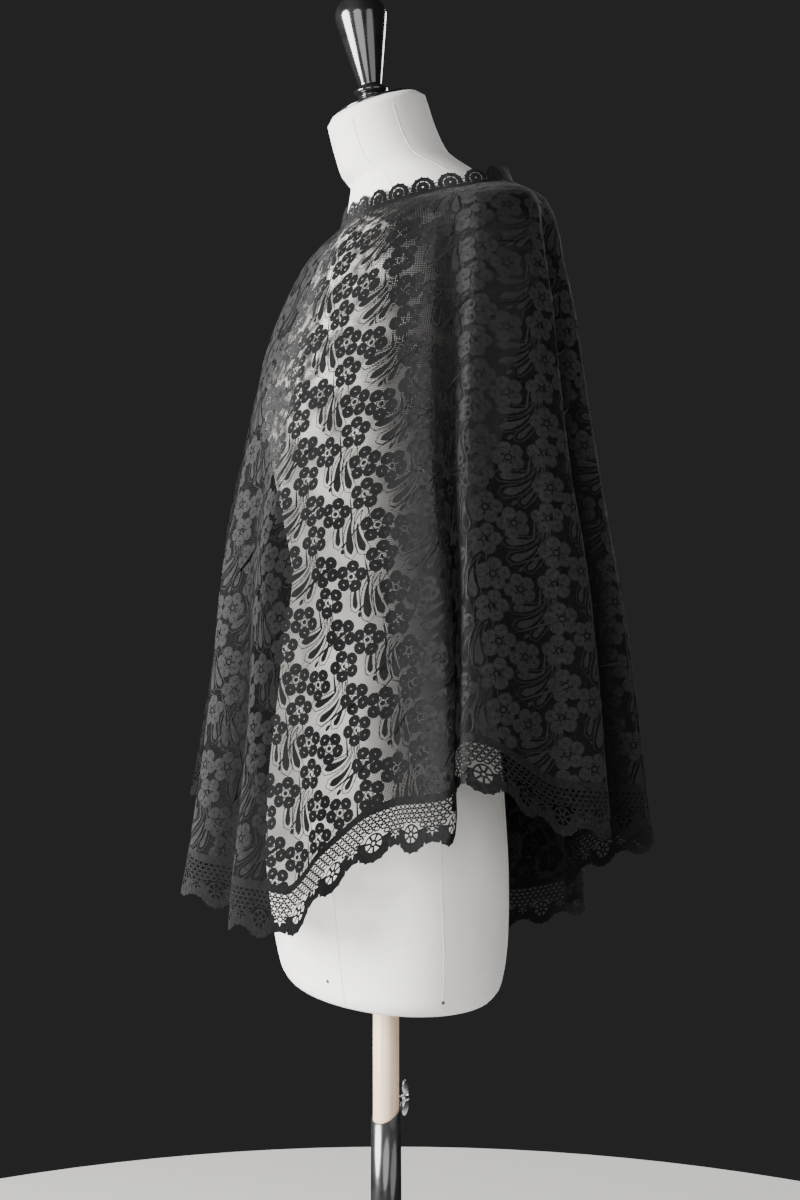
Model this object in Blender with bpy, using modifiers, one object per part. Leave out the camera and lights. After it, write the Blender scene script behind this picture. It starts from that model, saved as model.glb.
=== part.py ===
"""Black lace cape on a white dress form, which stands on a pole, a column and a round foot.

The floor is z = 0, the pole stands on the Z axis, the form faces -Y and its left side is +X.
Angles round the cape start at the front and pass +X at 90 degrees. Its drop runs from 0 at
the neckline to 1 at the seam where the scalloped hem lace is sewn on.
"""

import bisect
import math

import bmesh
import bpy
from mathutils import Matrix, Vector

# Cloth
CLOTH = 0.0012
SEAM_GAP = 0.0005
SIDE_SEAMS = (90.0, 270.0)

# Neck lace, which stands up round the neckline
NECK_LACE_SCALLOPS = 24
NECK_LACE_COLUMNS = 4
NECK_LACE_NOTCH = 0.80
NECK_LACE_SHOULDER = 0.95

# Hem lace: its scallops, and the pierced flower in each
HEM_LACE_DEPTH = 0.046
SCALLOP_PITCH = 0.040
SCALLOP_COLUMNS = 4
SCALLOP_ROWS = 4
FLOWER_DROP = 0.0285
FLOWER_RADIUS = 0.0100
FLOWER_WEB = 0.0013
SCALLOP_NOTCH = 0.036
SCALLOP_SHOULDER = 0.0435

# Dress form
FORM_SEGMENTS = 28
NECK_LEAN = math.radians(18.5)

# Stand
POLE_RADIUS = 0.0125
POLE_BOTTOM = 0.260
FORM_BOTTOM = 0.634
PIECE_GAP = 0.0003
COLUMN_BORE = 0.0128
COLUMN_TOP = 0.530
COLUMN_MOUTH = 0.508
MOUTH_SLOPE = math.radians(30)
BORE_BOTTOM = 0.110
FOOT_RADIUS = 0.190
FOOT_HEIGHT = 0.022

# Wing screw that clamps the pole. Its axis and the rise of the mouth turn this far from +Y to -X
SCREW_TURN = math.radians(30)
SCREW_HEIGHT = 0.5165
SCREW_TIP = 0.0129
SCREW_LENGTH = 0.0125
SCREW_RADIUS = 0.0021
SCREW_HOLE = 0.0026
BOSS_RADIUS = 0.0052
BOSS_REACH = 0.0180
HUB_START = 0.0215
HUB_RADIUS = 0.0036
HUB_LENGTH = 0.0085
WING_REACH = 0.0165

# Turned knob on the neck
PLATE_RADIUS = 0.0370
PLATE_HEIGHT = 0.0035
KNOB_LEAN = math.radians(8)
KNOB_FORWARD = 0.0010

FORM_RINGS = (
    # height, centre_y, half_width, half_depth, lean in degrees
    (0.6340, 0.0020, 0.1400, 0.0800, 0.0),
    (0.6370, 0.0020, 0.1550, 0.0920, 0.0),
    (0.6500, 0.0020, 0.1660, 0.0990, 0.0),
    (0.6900, 0.0010, 0.1725, 0.1055, 0.0),
    (0.7500, -0.0020, 0.1750, 0.1090, 0.0),
    (0.8200, -0.0030, 0.1720, 0.1060, 0.0),
    (0.9000, -0.0030, 0.1550, 0.0980, 0.0),
    (0.9600, -0.0050, 0.1340, 0.0910, 0.0),
    (1.0200, -0.0080, 0.1200, 0.0795, 0.0),
    (1.0800, -0.0070, 0.1270, 0.0900, 0.0),
    (1.1300, -0.0040, 0.1390, 0.1030, 0.0),
    (1.1900, 0.0000, 0.1500, 0.1145, 0.0),
    (1.2400, 0.0125, 0.1570, 0.1095, 0.0),
    (1.2900, 0.0265, 0.1660, 0.1005, 0.0),
    (1.3200, 0.0340, 0.1725, 0.0960, 0.0),
    (1.3380, 0.0400, 0.1700, 0.0930, 0.0),
    (1.3500, 0.0445, 0.1530, 0.0885, 0.0),
    (1.3600, 0.0480, 0.1250, 0.0850, 0.0),
    (1.3690, 0.0480, 0.1060, 0.0825, 0.0),
    (1.3800, 0.0460, 0.0950, 0.0795, 0.0),
    (1.3920, 0.0405, 0.0810, 0.0730, 1.0),
    (1.4040, 0.0270, 0.0680, 0.0600, 5.0),
    (1.4180, 0.0090, 0.0560, 0.0520, 12.0),
    (1.4400, -0.0010, 0.0505, 0.0500, 17.0),
    (1.4670, -0.0095, 0.0490, 0.0490, 18.5),
    (1.4730, -0.0115, 0.0430, 0.0430, 18.5),
)

CAPE_RINGS = (
    # drop, half_width, front_reach, back_reach, side_fall, front_fall, back_fall
    (0.00, 0.115, 0.040, 0.120, 0.0000, 0.0000, 0.0000),
    (0.05, 0.148, 0.071, 0.152, 0.0200, 0.0550, 0.0440),
    (0.10, 0.173, 0.089, 0.160, 0.0480, 0.1180, 0.0920),
    (0.15, 0.186, 0.103, 0.165, 0.1000, 0.1770, 0.1460),
    (0.25, 0.199, 0.124, 0.180, 0.2200, 0.2930, 0.2440),
    (0.40, 0.209, 0.143, 0.196, 0.3800, 0.4350, 0.4000),
    (0.55, 0.221, 0.160, 0.212, 0.5350, 0.5760, 0.5500),
    (0.70, 0.233, 0.168, 0.228, 0.6900, 0.7170, 0.7000),
    (0.85, 0.245, 0.178, 0.240, 0.8450, 0.8590, 0.8500),
    (1.00, 0.257, 0.190, 0.250, 1.0000, 1.0000, 1.0000),
)

NECK_HEIGHTS = (
    # angle, height of the neckline, height of the neck lace's scallop tips
    (0.0, 1.3586, 1.3780),
    (40.0, 1.3617, 1.3805),
    (65.0, 1.3666, 1.3845),
    (90.0, 1.3730, 1.3900),
    (110.0, 1.3810, 1.3975),
    (145.0, 1.3925, 1.4090),
    (180.0, 1.3960, 1.4130),
    (215.0, 1.3925, 1.4090),
    (250.0, 1.3810, 1.3975),
    (270.0, 1.3730, 1.3900),
    (295.0, 1.3666, 1.3845),
    (320.0, 1.3617, 1.3805),
)

NECK_LACE_TIPS = (
    # half_width, front_reach, back_reach
    (0.1030, 0.0360, 0.1140),
)

CAPE_DROPS = (0.0, 0.05, 0.10, 0.15, 0.22, 0.32, 0.44, 0.58, 0.72, 0.86, 1.0)

FOLDS = (
    # angle at the hem, angle at the neckline, inset at the hem (small on a ridge), drop where it starts
    (-5.0, -2.0, 0.004, 0.20),
    (8.0, 10.0, 0.036, 0.20),
    (24.0, 27.0, 0.006, 0.22),
    (40.0, 42.0, 0.014, 0.20),
    (53.0, 50.0, 0.034, 0.15),
    (62.0, 58.0, 0.036, 0.10),
    (73.5, 70.0, 0.002, 0.03),
    (78.5, 81.0, 0.036, 0.03),
    (84.0, 91.0, 0.006, 0.03),
    (98.0, 106.0, 0.010, 0.03),
    (113.0, 117.0, 0.000, 0.03),
    (127.0, 127.0, 0.054, 0.03),
    (138.0, 138.0, 0.006, 0.03),
    (151.0, 151.0, 0.062, 0.04),
    (165.0, 165.0, 0.000, 0.04),
    (181.0, 181.0, 0.064, 0.04),
    (197.0, 197.0, 0.002, 0.04),
    (213.0, 213.0, 0.064, 0.03),
    (230.0, 230.0, 0.004, 0.03),
    (246.0, 247.0, 0.062, 0.03),
    (261.0, 263.0, 0.002, 0.03),
    (276.0, 278.0, 0.062, 0.03),
    (293.0, 294.0, 0.000, 0.12),
    (309.0, 310.0, 0.056, 0.22),
    (324.0, 326.0, -0.008, 0.20),
    (341.0, 342.0, 0.046, 0.20),
)

HEM_HEIGHTS = (
    # angle, height of the seam above the hem lace
    (0.0, 0.762),
    (15.0, 0.757),
    (24.0, 0.7565),
    (33.0, 0.756),
    (38.0, 0.755),
    (41.0, 0.764),
    (45.0, 0.788),
    (49.0, 0.803),
    (56.0, 0.823),
    (63.0, 0.8325),
    (73.5, 0.844),
    (78.5, 0.868),
    (84.0, 0.89),
    (94.0, 0.868),
    (103.0, 0.849),
    (125.0, 0.838),
    (150.0, 0.826),
    (168.0, 0.800),
    (190.0, 0.730),
    (210.0, 0.702),
    (235.0, 0.748),
    (260.0, 0.822),
    (290.0, 0.862),
    (320.0, 0.854),
    (340.0, 0.806),
)

COLUMN_OUTLINE = (
    # radius, height of the column's outer side
    (0.0142, COLUMN_TOP),
    (0.0150, 0.400),
    (0.0165, 0.260),
    (0.0190, 0.140),
    (0.0240, 0.070),
    (0.0360, 0.034),
    (0.0420, FOOT_HEIGHT + PIECE_GAP),
)

FOOT_OUTLINE = (
    # radius, height of the round foot's outer side
    (0.0, FOOT_HEIGHT),
    (0.120, FOOT_HEIGHT),
    (0.178, 0.0165),
    (FOOT_RADIUS, 0.0090),
    (FOOT_RADIUS, 0.0020),
    (0.188, 0.0),
    (0.0, 0.0),
)

KNOB_OUTLINE = (
    # radius, height above the plate
    (0.0, 0.1010),
    (0.0140, 0.0985),
    (0.0225, 0.0910),
    (0.0250, 0.0800),
    (0.0112, 0.0170),
    (0.0112, 0.0145),
    (0.0162, 0.0125),
    (0.0162, 0.0085),
    (0.0120, 0.0065),
    (0.0150, 0.0),
    (0.0150, -0.0040),
    (0.0, -0.0040),
)


def smooth_value(points, at):
    """Value at one place of the smooth curve through (place, value) points, straight beyond them."""
    last = len(points) - 1

    def chord(i):
        return (points[i + 1][1] - points[i][1]) / (points[i + 1][0] - points[i][0])

    def slope(i):
        if i == 0:
            return chord(0)
        if i == last:
            return chord(last - 1)
        before, after = chord(i - 1), chord(i)
        return 0.0 if before * after <= 0 else 2 * before * after / (before + after)

    if at >= points[last][0]:
        return points[last][1] + slope(last) * (at - points[last][0])
    i = max(0, bisect.bisect_right([p[0] for p in points], at) - 1)
    step = points[i + 1][0] - points[i][0]
    s = (at - points[i][0]) / step
    return (
        points[i][1] * (1 + 2 * s) * (1 - s) ** 2
        + points[i + 1][1] * s * s * (3 - 2 * s)
        + slope(i) * step * s * (1 - s) ** 2
        - slope(i + 1) * step * s * s * (1 - s)
    )


def smooth_row(rows, at):
    """The columns after the first, read at one place of the first."""
    return [smooth_value([(row[0], row[k]) for row in rows], at) for k in range(1, len(rows[0]))]


def round_value(rows, angle, k=1):
    """Column k at an angle of a table that goes right round."""
    before = [(row[0] - 360, row[k]) for row in rows[-2:]]
    after = [(row[0] + 360, row[k]) for row in rows[:2]]
    angle = (angle - rows[0][0]) % 360 + rows[0][0]
    return smooth_value(before + [(row[0], row[k]) for row in rows] + after, angle)


def fold_inset(angle, drop):
    """How far the cloth stands in from its ring. A fold starts at its own drop and grows to the hem."""
    rows = [(neck + (hem - neck) * drop, inset, start) for hem, neck, inset, start in FOLDS]
    share = max(0.0, 1 - (1 - drop) / (1 - round_value(rows, angle, 2))) ** 0.85
    return round_value(rows, angle) * share


def cape_point(angle, drop):
    """Point on the cape's outer face."""
    width, front, back, side_fall, front_fall, back_fall = smooth_row(CAPE_RINGS, drop)
    sine, cosine = math.sin(math.radians(angle)), math.cos(math.radians(angle))
    centre, depth = (back - front) / 2, (back + front) / 2
    fall = side_fall * sine**2 + (front_fall if cosine > 0 else back_fall) * cosine**2
    neckline = round_value(NECK_HEIGHTS, angle)
    height = neckline + (round_value(HEM_HEIGHTS, angle) - neckline) * fall
    outward = Vector((sine / width, -cosine / depth)).normalized() * fold_inset(angle, drop)
    return Vector((width * sine - outward.x, centre - depth * cosine - outward.y, height))


def hem_frames(angles):
    """Points of a panel's bottom edge, each with the way the cloth falls there."""
    frames = []
    for angle in angles:
        above, edge = cape_point(angle, CAPE_DROPS[-2]), cape_point(angle, 1.0)
        frames.append((edge, (edge - above).normalized()))
    return frames


def hem_lace_point(frames, place, below):
    """Point on the hem lace's outer face. place counts panel columns, below is measured from the seam."""
    k = min(max(int(place), 0), len(frames) - 2)
    edge = frames[k][0].lerp(frames[k + 1][0], place - k)
    return edge + frames[k][1].lerp(frames[k + 1][1], place - k) * below


def neck_lace_point(angle, rise):
    """Point on the outer face of the neck lace. rise is 0 at the neckline and 1 at a scallop's tip."""
    width, front, back = NECK_LACE_TIPS[0]
    sine, cosine = math.sin(math.radians(angle)), math.cos(math.radians(angle))
    depth = (back - front) / 2 - (back + front) / 2 * cosine
    tip = Vector((width * sine, depth, round_value(NECK_HEIGHTS, angle, 2)))
    return cape_point(angle, 0.0).lerp(tip, rise)


def even_angles(start, end, count, point_at):
    """Angles from start to end that cut the curve point_at(angle) into count equal lengths."""
    samples = 720
    angles = [start + (end - start) * i / samples for i in range(samples + 1)]
    lengths = [0.0]
    for before, after in zip(angles, angles[1:]):
        lengths.append(lengths[-1] + (point_at(after) - point_at(before)).length)
    found = []
    for i in range(count + 1):
        wanted = lengths[-1] * i / count
        k = min(max(bisect.bisect_left(lengths, wanted), 1), samples)
        share = (wanted - lengths[k - 1]) / (lengths[k] - lengths[k - 1])
        found.append(angles[k - 1] + (angles[k] - angles[k - 1]) * share)
    return found


def hem_length(start, end):
    """Length of the hem seam between two angles."""
    points = [cape_point(start + (end - start) * i / 360, 1.0) for i in range(361)]
    return sum((b - a).length for a, b in zip(points, points[1:]))


def material(name, colour, roughness, metallic=0.0):
    made = bpy.data.materials.new(name)
    made.use_nodes = True
    shader = made.node_tree.nodes["Principled BSDF"]
    shader.inputs["Base Color"].default_value = (*colour, 1.0)
    shader.inputs["Roughness"].default_value = roughness
    shader.inputs["Metallic"].default_value = metallic
    return made


def new_object(name, mesh, finish, parts):
    made = bpy.data.objects.new(name, mesh)
    mesh.materials.append(finish)
    parts.objects.link(made)
    return made


def mesh_from(name, working):
    mesh = bpy.data.meshes.new(name)
    working.to_mesh(mesh)
    working.free()
    mesh.shade_smooth()
    return mesh


def turned(name, outline, steps, finish, parts):
    """A profile of (radius, height) that runs down its outer side, turned round its own Z axis."""
    mesh = bpy.data.meshes.new(name)
    edges = [(i, i + 1) for i in range(len(outline) - 1)]
    mesh.from_pydata([(radius, 0.0, height) for radius, height in outline], edges, [])
    made = new_object(name, mesh, finish, parts)
    screw = made.modifiers.new("turn", "SCREW")
    screw.steps = screw.render_steps = steps
    screw.use_merge_vertices = True
    screw.merge_threshold = 0.00001
    return made


def outward_sheet(working):
    """Turns the sheet over if its faces look towards the Z axis."""
    working.normal_update()
    facing = sum(face.normal.dot(face.calc_center_median() * Vector((1, 1, 0))) for face in working.faces)
    if facing < 0:
        bmesh.ops.reverse_faces(working, faces=working.faces)


def thicken(made):
    """Gives a sheet its cloth thickness on the inner side."""
    wall = made.modifiers.new("wall", "SOLIDIFY")
    wall.thickness = CLOTH
    wall.offset = -1


def seam_share(column, columns):
    """Sideways shift that leaves the seam gap: into the panel at its first and last column."""
    if column == 0:
        return SEAM_GAP / 2
    return -SEAM_GAP / 2 if column == columns else 0.0


def shifted(point_at, place, distance, step):
    """The point at this place along a ring, moved along the ring by a distance."""
    point = point_at(place)
    if not distance:
        return point
    return point + (point_at(place + step) - point_at(place - step)).normalized() * distance


def panel_angles(start, end):
    """Angles of a panel's columns, two to each scallop of the hem lace."""
    return even_angles(start, end, 2 * scallops_between(start, end), lambda a: cape_point(a, 1.0))


def cape_panel(name, start, end, finish, parts):
    """One half of the cape, from side seam to side seam, as a sheet with thickness."""
    angles = panel_angles(start, end)
    columns, rows = len(angles) - 1, len(CAPE_DROPS) - 1
    working = bmesh.new()
    bmesh.ops.create_grid(working, x_segments=columns, y_segments=rows, size=0.5)
    for vertex in working.verts:
        column = round((vertex.co.x + 0.5) * columns)
        drop = CAPE_DROPS[round((0.5 - vertex.co.y) * rows)]
        distance = seam_share(column, columns)
        vertex.co = shifted(lambda a: cape_point(a, drop), angles[column], distance, 0.2)
    outward_sheet(working)
    made = new_object(name, mesh_from(name, working), finish, parts)
    thicken(made)
    return made


def scallops_between(start, end):
    return round(hem_length(start, end) / SCALLOP_PITCH)


def scallop_place(column, row, pitch):
    """Sideways place and depth of a point of the scallop's cage. Its middle cells ring the flower."""
    middle = pitch / 2
    bottom = (SCALLOP_NOTCH, SCALLOP_SHOULDER, HEM_LACE_DEPTH, SCALLOP_SHOULDER)
    if row == SCALLOP_ROWS:
        return column * pitch / SCALLOP_COLUMNS, bottom[column % SCALLOP_COLUMNS]
    if row == 0 or column % SCALLOP_COLUMNS == 0:
        return column * pitch / SCALLOP_COLUMNS, SCALLOP_NOTCH * row / SCALLOP_ROWS
    across, down = column - SCALLOP_COLUMNS / 2, row - SCALLOP_ROWS / 2
    reach = FLOWER_RADIUS * (0.72 if across and down else 1.0)
    return middle + across * reach, FLOWER_DROP + down * reach


def hem_lace(name, start, end, finish, parts):
    """Scalloped lace below one panel, pierced by four gaps in the flower of each scallop."""
    count = scallops_between(start, end)
    columns = count * SCALLOP_COLUMNS
    frames = hem_frames(panel_angles(start, end))
    pitch = hem_length(start, end) / count
    working = bmesh.new()
    bmesh.ops.create_grid(working, x_segments=columns, y_segments=SCALLOP_ROWS, size=0.5)
    flower_cells = []
    cells = {}
    for vertex in working.verts:
        column = round((vertex.co.x + 0.5) * columns)
        row = round((0.5 - vertex.co.y) * SCALLOP_ROWS)
        cells[vertex] = (column, row)
    for face in working.faces:
        left = min(cells[v][0] for v in face.verts) % SCALLOP_COLUMNS
        top = min(cells[v][1] for v in face.verts)
        if left in (1, 2) and top in (1, 2):
            flower_cells.append(face)
    for vertex, (column, row) in cells.items():
        first = column // SCALLOP_COLUMNS
        across, down = scallop_place(column % SCALLOP_COLUMNS, row, pitch)
        vertex.co = (first * pitch + across, down, 0.0)
    working.normal_update()
    bmesh.ops.inset_individual(working, faces=flower_cells, thickness=FLOWER_WEB, use_even_offset=True)
    bmesh.ops.delete(working, geom=flower_cells, context="FACES")
    length = pitch * count
    for vertex in working.verts:
        across, down = vertex.co.x, vertex.co.y
        place = min(max(across / length, 0.0), 1.0) * (len(frames) - 1)
        distance = SEAM_GAP / 2 * ((across < 1e-5) - (across > length - 1e-5))
        vertex.co = shifted(lambda p: hem_lace_point(frames, p, down + SEAM_GAP), place, distance, 0.01)
    outward_sheet(working)
    made = new_object(name, mesh_from(name, working), finish, parts)
    thicken(made)
    return made


def neck_lace(finish, parts):
    """Narrow lace that stands up round the neckline, with its scallops upwards."""
    columns = NECK_LACE_SCALLOPS * NECK_LACE_COLUMNS
    tips = (NECK_LACE_NOTCH, NECK_LACE_SHOULDER, 1.0, NECK_LACE_SHOULDER)
    angles = even_angles(0.0, 360.0, columns, lambda a: cape_point(a, 0.0))
    rows = (SEAM_GAP / 0.020, 1.0)
    working = bmesh.new()
    rings = []
    for row, rise in enumerate(rows):
        ring = []
        for column in range(columns):
            top = tips[column % NECK_LACE_COLUMNS] if row == len(rows) - 1 else 1.0
            ring.append(working.verts.new(neck_lace_point(angles[column], rise * top)))
        rings.append(ring)
    for lower, upper in zip(rings, rings[1:]):
        for column in range(columns):
            following = (column + 1) % columns
            working.faces.new((lower[column], lower[following], upper[following], upper[column]))
    outward_sheet(working)
    made = new_object("neck_lace", mesh_from("neck_lace", working), finish, parts)
    thicken(made)
    return made


def form(finish, parts):
    """Torso and neck as one smooth solid lofted through rings of unlike width, depth and lean."""
    working = bmesh.new()
    rings = []
    for height, centre_y, width, depth, lean in FORM_RINGS:
        tilt = Matrix.Rotation(math.radians(lean), 4, "X")
        ring = []
        for i in range(FORM_SEGMENTS):
            turn = 2 * math.pi * i / FORM_SEGMENTS
            offset = tilt @ Vector((width * math.sin(turn), -depth * math.cos(turn), 0.0))
            ring.append(working.verts.new(Vector((0.0, centre_y, height)) + offset))
        rings.append(ring)
    for lower, upper in zip(rings, rings[1:]):
        for i in range(FORM_SEGMENTS):
            k = (i + 1) % FORM_SEGMENTS
            working.faces.new((lower[i], lower[k], upper[k], upper[i]))
    working.faces.new(list(reversed(rings[0])))
    working.faces.new(rings[-1])
    return new_object("form", mesh_from("form", working), finish, parts)


def cylinder(name, radius, length, segments, finish, parts):
    """A rod along its own Z axis, from 0 to its length."""
    working = bmesh.new()
    bmesh.ops.create_cone(
        working,
        cap_ends=True,
        segments=segments,
        radius1=radius,
        radius2=radius,
        depth=length,
        matrix=Matrix.Translation((0.0, 0.0, length / 2)),
    )
    return new_object(name, mesh_from(name, working), finish, parts)


def along_screw(made, start):
    """Lays a rod on the wing screw's axis, this far from the pole's axis."""
    out = Vector((-math.sin(SCREW_TURN), math.cos(SCREW_TURN), 0.0))
    made.rotation_euler = (-math.pi / 2, 0.0, SCREW_TURN)
    made.location = out * start + Vector((0.0, 0.0, SCREW_HEIGHT))
    return made


def boolean(made, other, operation):
    cut = made.modifiers.new(other.name, "BOOLEAN")
    cut.operation = operation
    cut.object = other
    cut.solver = "EXACT"
    other.hide_render = True
    other.display_type = "WIRE"


def column(finish, parts, cutters):
    """Tapering tube with a blind bore, a slanting mouth, and a pierced boss for the wing screw."""
    bore = [(0.0, BORE_BOTTOM), (COLUMN_BORE, BORE_BOTTOM), (COLUMN_BORE, COLUMN_TOP)]
    outline = bore + list(COLUMN_OUTLINE) + [(0.0, FOOT_HEIGHT + PIECE_GAP)]
    made = turned("column", outline, 24, finish, parts)
    working = bmesh.new()
    bmesh.ops.create_cube(working, size=0.2, matrix=Matrix.Translation((0.0, 0.0, 0.1)))
    mouth = new_object("slanting_mouth", mesh_from("slanting_mouth", working), finish, cutters)
    mouth.location = (0.0, 0.0, COLUMN_MOUTH)
    mouth.rotation_euler = (MOUTH_SLOPE, 0.0, SCREW_TURN)
    boolean(made, mouth, "DIFFERENCE")
    boss = along_screw(cylinder("boss", BOSS_RADIUS, BOSS_REACH - 0.0132, 16, finish, cutters), 0.0132)
    boolean(made, boss, "UNION")
    hole = along_screw(cylinder("screw_hole", SCREW_HOLE, 0.020, 12, finish, cutters), 0.004)
    boolean(made, hole, "DIFFERENCE")
    return made


def wing_screw(finish, parts, cutters):
    """Shank and hub with two thin wings, joined into one solid."""
    shank = along_screw(cylinder("wing_screw", SCREW_RADIUS, SCREW_LENGTH, 12, finish, parts), SCREW_TIP)
    hub = along_screw(cylinder("screw_hub", HUB_RADIUS, HUB_LENGTH, 12, finish, cutters), HUB_START)
    boolean(shank, hub, "UNION")
    out = Vector((-math.sin(SCREW_TURN), math.cos(SCREW_TURN), 0.0))
    for name, side in (("upper_wing", 1), ("lower_wing", -1)):
        working = bmesh.new()
        bmesh.ops.create_uvsphere(working, u_segments=10, v_segments=6, radius=1.0)
        wing = new_object(name, mesh_from(name, working), finish, cutters)
        wing.scale = (0.0014, 0.0042, WING_REACH / 2)
        wing.rotation_euler = (-0.20 * side, 0.0, SCREW_TURN)
        wing.location = out * (HUB_START + 0.0052) + Vector((0.0, 0.0, SCREW_HEIGHT + side * WING_REACH * 0.55))
        boolean(shank, wing, "UNION")
    return shank


def clear_scene():
    for existing in list(bpy.data.objects):
        bpy.data.objects.remove(existing)


def collection(name):
    made = bpy.data.collections.new(name)
    bpy.context.scene.collection.children.link(made)
    return made


def main():
    clear_scene()
    parts = collection("lace_cape_on_form")
    cutters = collection("cutters")
    lace = material("black lace", (0.018, 0.018, 0.020), 0.85)
    border = material("black border lace", (0.012, 0.012, 0.014), 0.85)
    linen = material("white form cover", (0.80, 0.78, 0.74), 0.80)
    black = material("black lacquer", (0.012, 0.012, 0.013), 0.18)
    beech = material("pale wood", (0.72, 0.56, 0.42), 0.45)
    iron = material("black enamel", (0.015, 0.015, 0.016), 0.22)
    steel = material("bright steel", (0.62, 0.62, 0.63), 0.28, 1.0)

    right_seam, left_seam = SIDE_SEAMS[1] - 360, SIDE_SEAMS[0]
    cape_panel("cape_front", right_seam, left_seam, lace, parts)
    cape_panel("cape_back", left_seam, right_seam + 360, lace, parts)
    hem_lace("hem_lace_front", right_seam, left_seam, border, parts)
    hem_lace("hem_lace_back", left_seam, right_seam + 360, border, parts)
    neck_lace(border, parts)

    form(linen, parts)
    up = Matrix.Rotation(NECK_LEAN, 3, "X") @ Vector((0.0, 0.0, 1.0))
    neck_top = Vector((0.0, FORM_RINGS[-1][1], FORM_RINGS[-1][0]))
    plate = cylinder("neck_plate", PLATE_RADIUS, PLATE_HEIGHT, 28, black, parts)
    plate.location = neck_top + up * PIECE_GAP
    plate.rotation_euler = (NECK_LEAN, 0.0, 0.0)
    knob = turned("neck_knob", KNOB_OUTLINE, 18, black, parts)
    forward = Matrix.Rotation(NECK_LEAN, 3, "X") @ Vector((0.0, -KNOB_FORWARD, 0.0))
    seat = neck_top + forward + up * (PLATE_HEIGHT + 2 * PIECE_GAP)
    knob.location = seat
    knob.rotation_euler = (KNOB_LEAN, 0.0, 0.0)
    working = bmesh.new()
    bmesh.ops.create_cube(working, size=0.08, matrix=Matrix.Translation((0.0, 0.0, -0.04)))
    plane = new_object("slanting_seat", mesh_from("slanting_seat", working), finish=black, parts=cutters)
    plane.location = seat
    plane.rotation_euler = (NECK_LEAN, 0.0, 0.0)
    boolean(knob, plane, "DIFFERENCE")

    pole = cylinder("pole", POLE_RADIUS, FORM_BOTTOM - PIECE_GAP - POLE_BOTTOM, 24, beech, parts)
    pole.location = (0.0, 0.0, POLE_BOTTOM)
    column(iron, parts, cutters)
    turned("foot", FOOT_OUTLINE, 32, iron, parts)
    wing_screw(steel, parts, cutters)


main()
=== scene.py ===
import math

import bmesh
import bpy
import numpy as np
from mathutils import Matrix, Vector


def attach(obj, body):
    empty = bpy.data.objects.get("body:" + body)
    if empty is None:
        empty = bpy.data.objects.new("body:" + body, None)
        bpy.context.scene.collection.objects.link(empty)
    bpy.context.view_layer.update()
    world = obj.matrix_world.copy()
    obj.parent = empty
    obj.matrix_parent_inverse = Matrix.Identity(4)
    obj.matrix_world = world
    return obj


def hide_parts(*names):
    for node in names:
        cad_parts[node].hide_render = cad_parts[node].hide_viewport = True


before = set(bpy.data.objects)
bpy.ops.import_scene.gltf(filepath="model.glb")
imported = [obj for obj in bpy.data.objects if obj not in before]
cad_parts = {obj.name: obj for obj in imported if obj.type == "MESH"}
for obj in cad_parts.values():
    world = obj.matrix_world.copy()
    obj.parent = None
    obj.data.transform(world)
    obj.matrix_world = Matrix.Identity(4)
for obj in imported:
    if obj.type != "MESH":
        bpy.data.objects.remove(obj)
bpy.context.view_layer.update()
print("frame loaded:", len(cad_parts), "nodes")


def smoothCurve(places, values, at):
    # monotone curve through the values, straight beyond the last one
    places, values, at = (np.asarray(x, float) for x in (places, values, at))
    steps = np.diff(places)
    chords = np.diff(values) / steps
    before, after = chords[:-1], chords[1:]
    same = before * after > 0
    slopes = np.empty(len(places))
    slopes[0], slopes[-1] = chords[0], chords[-1]
    slopes[1:-1] = np.where(same, 2 * before * after / np.where(same, before + after, 1.0), 0.0)
    i = np.clip(np.searchsorted(places, at, side="right") - 1, 0, len(places) - 2)
    s = (at - places[i]) / steps[i]
    inside = (values[i] * (1 + 2 * s) * (1 - s) ** 2 + values[i + 1] * s * s * (3 - 2 * s)
              + slopes[i] * steps[i] * s * (1 - s) ** 2
              - slopes[i + 1] * steps[i] * s * s * (1 - s))
    return np.where(at >= places[-1], values[-1] + slopes[-1] * (at - places[-1]), inside)


def roundCurve(places, values, angles):
    places, values = np.asarray(places, float), np.asarray(values, float)
    around = np.concatenate((places[-2:] - 360, places, places[:2] + 360))
    levels = np.concatenate((values[-2:], values, values[:2]))
    return smoothCurve(around, levels, (np.asarray(angles, float) - places[0]) % 360 + places[0])


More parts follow.
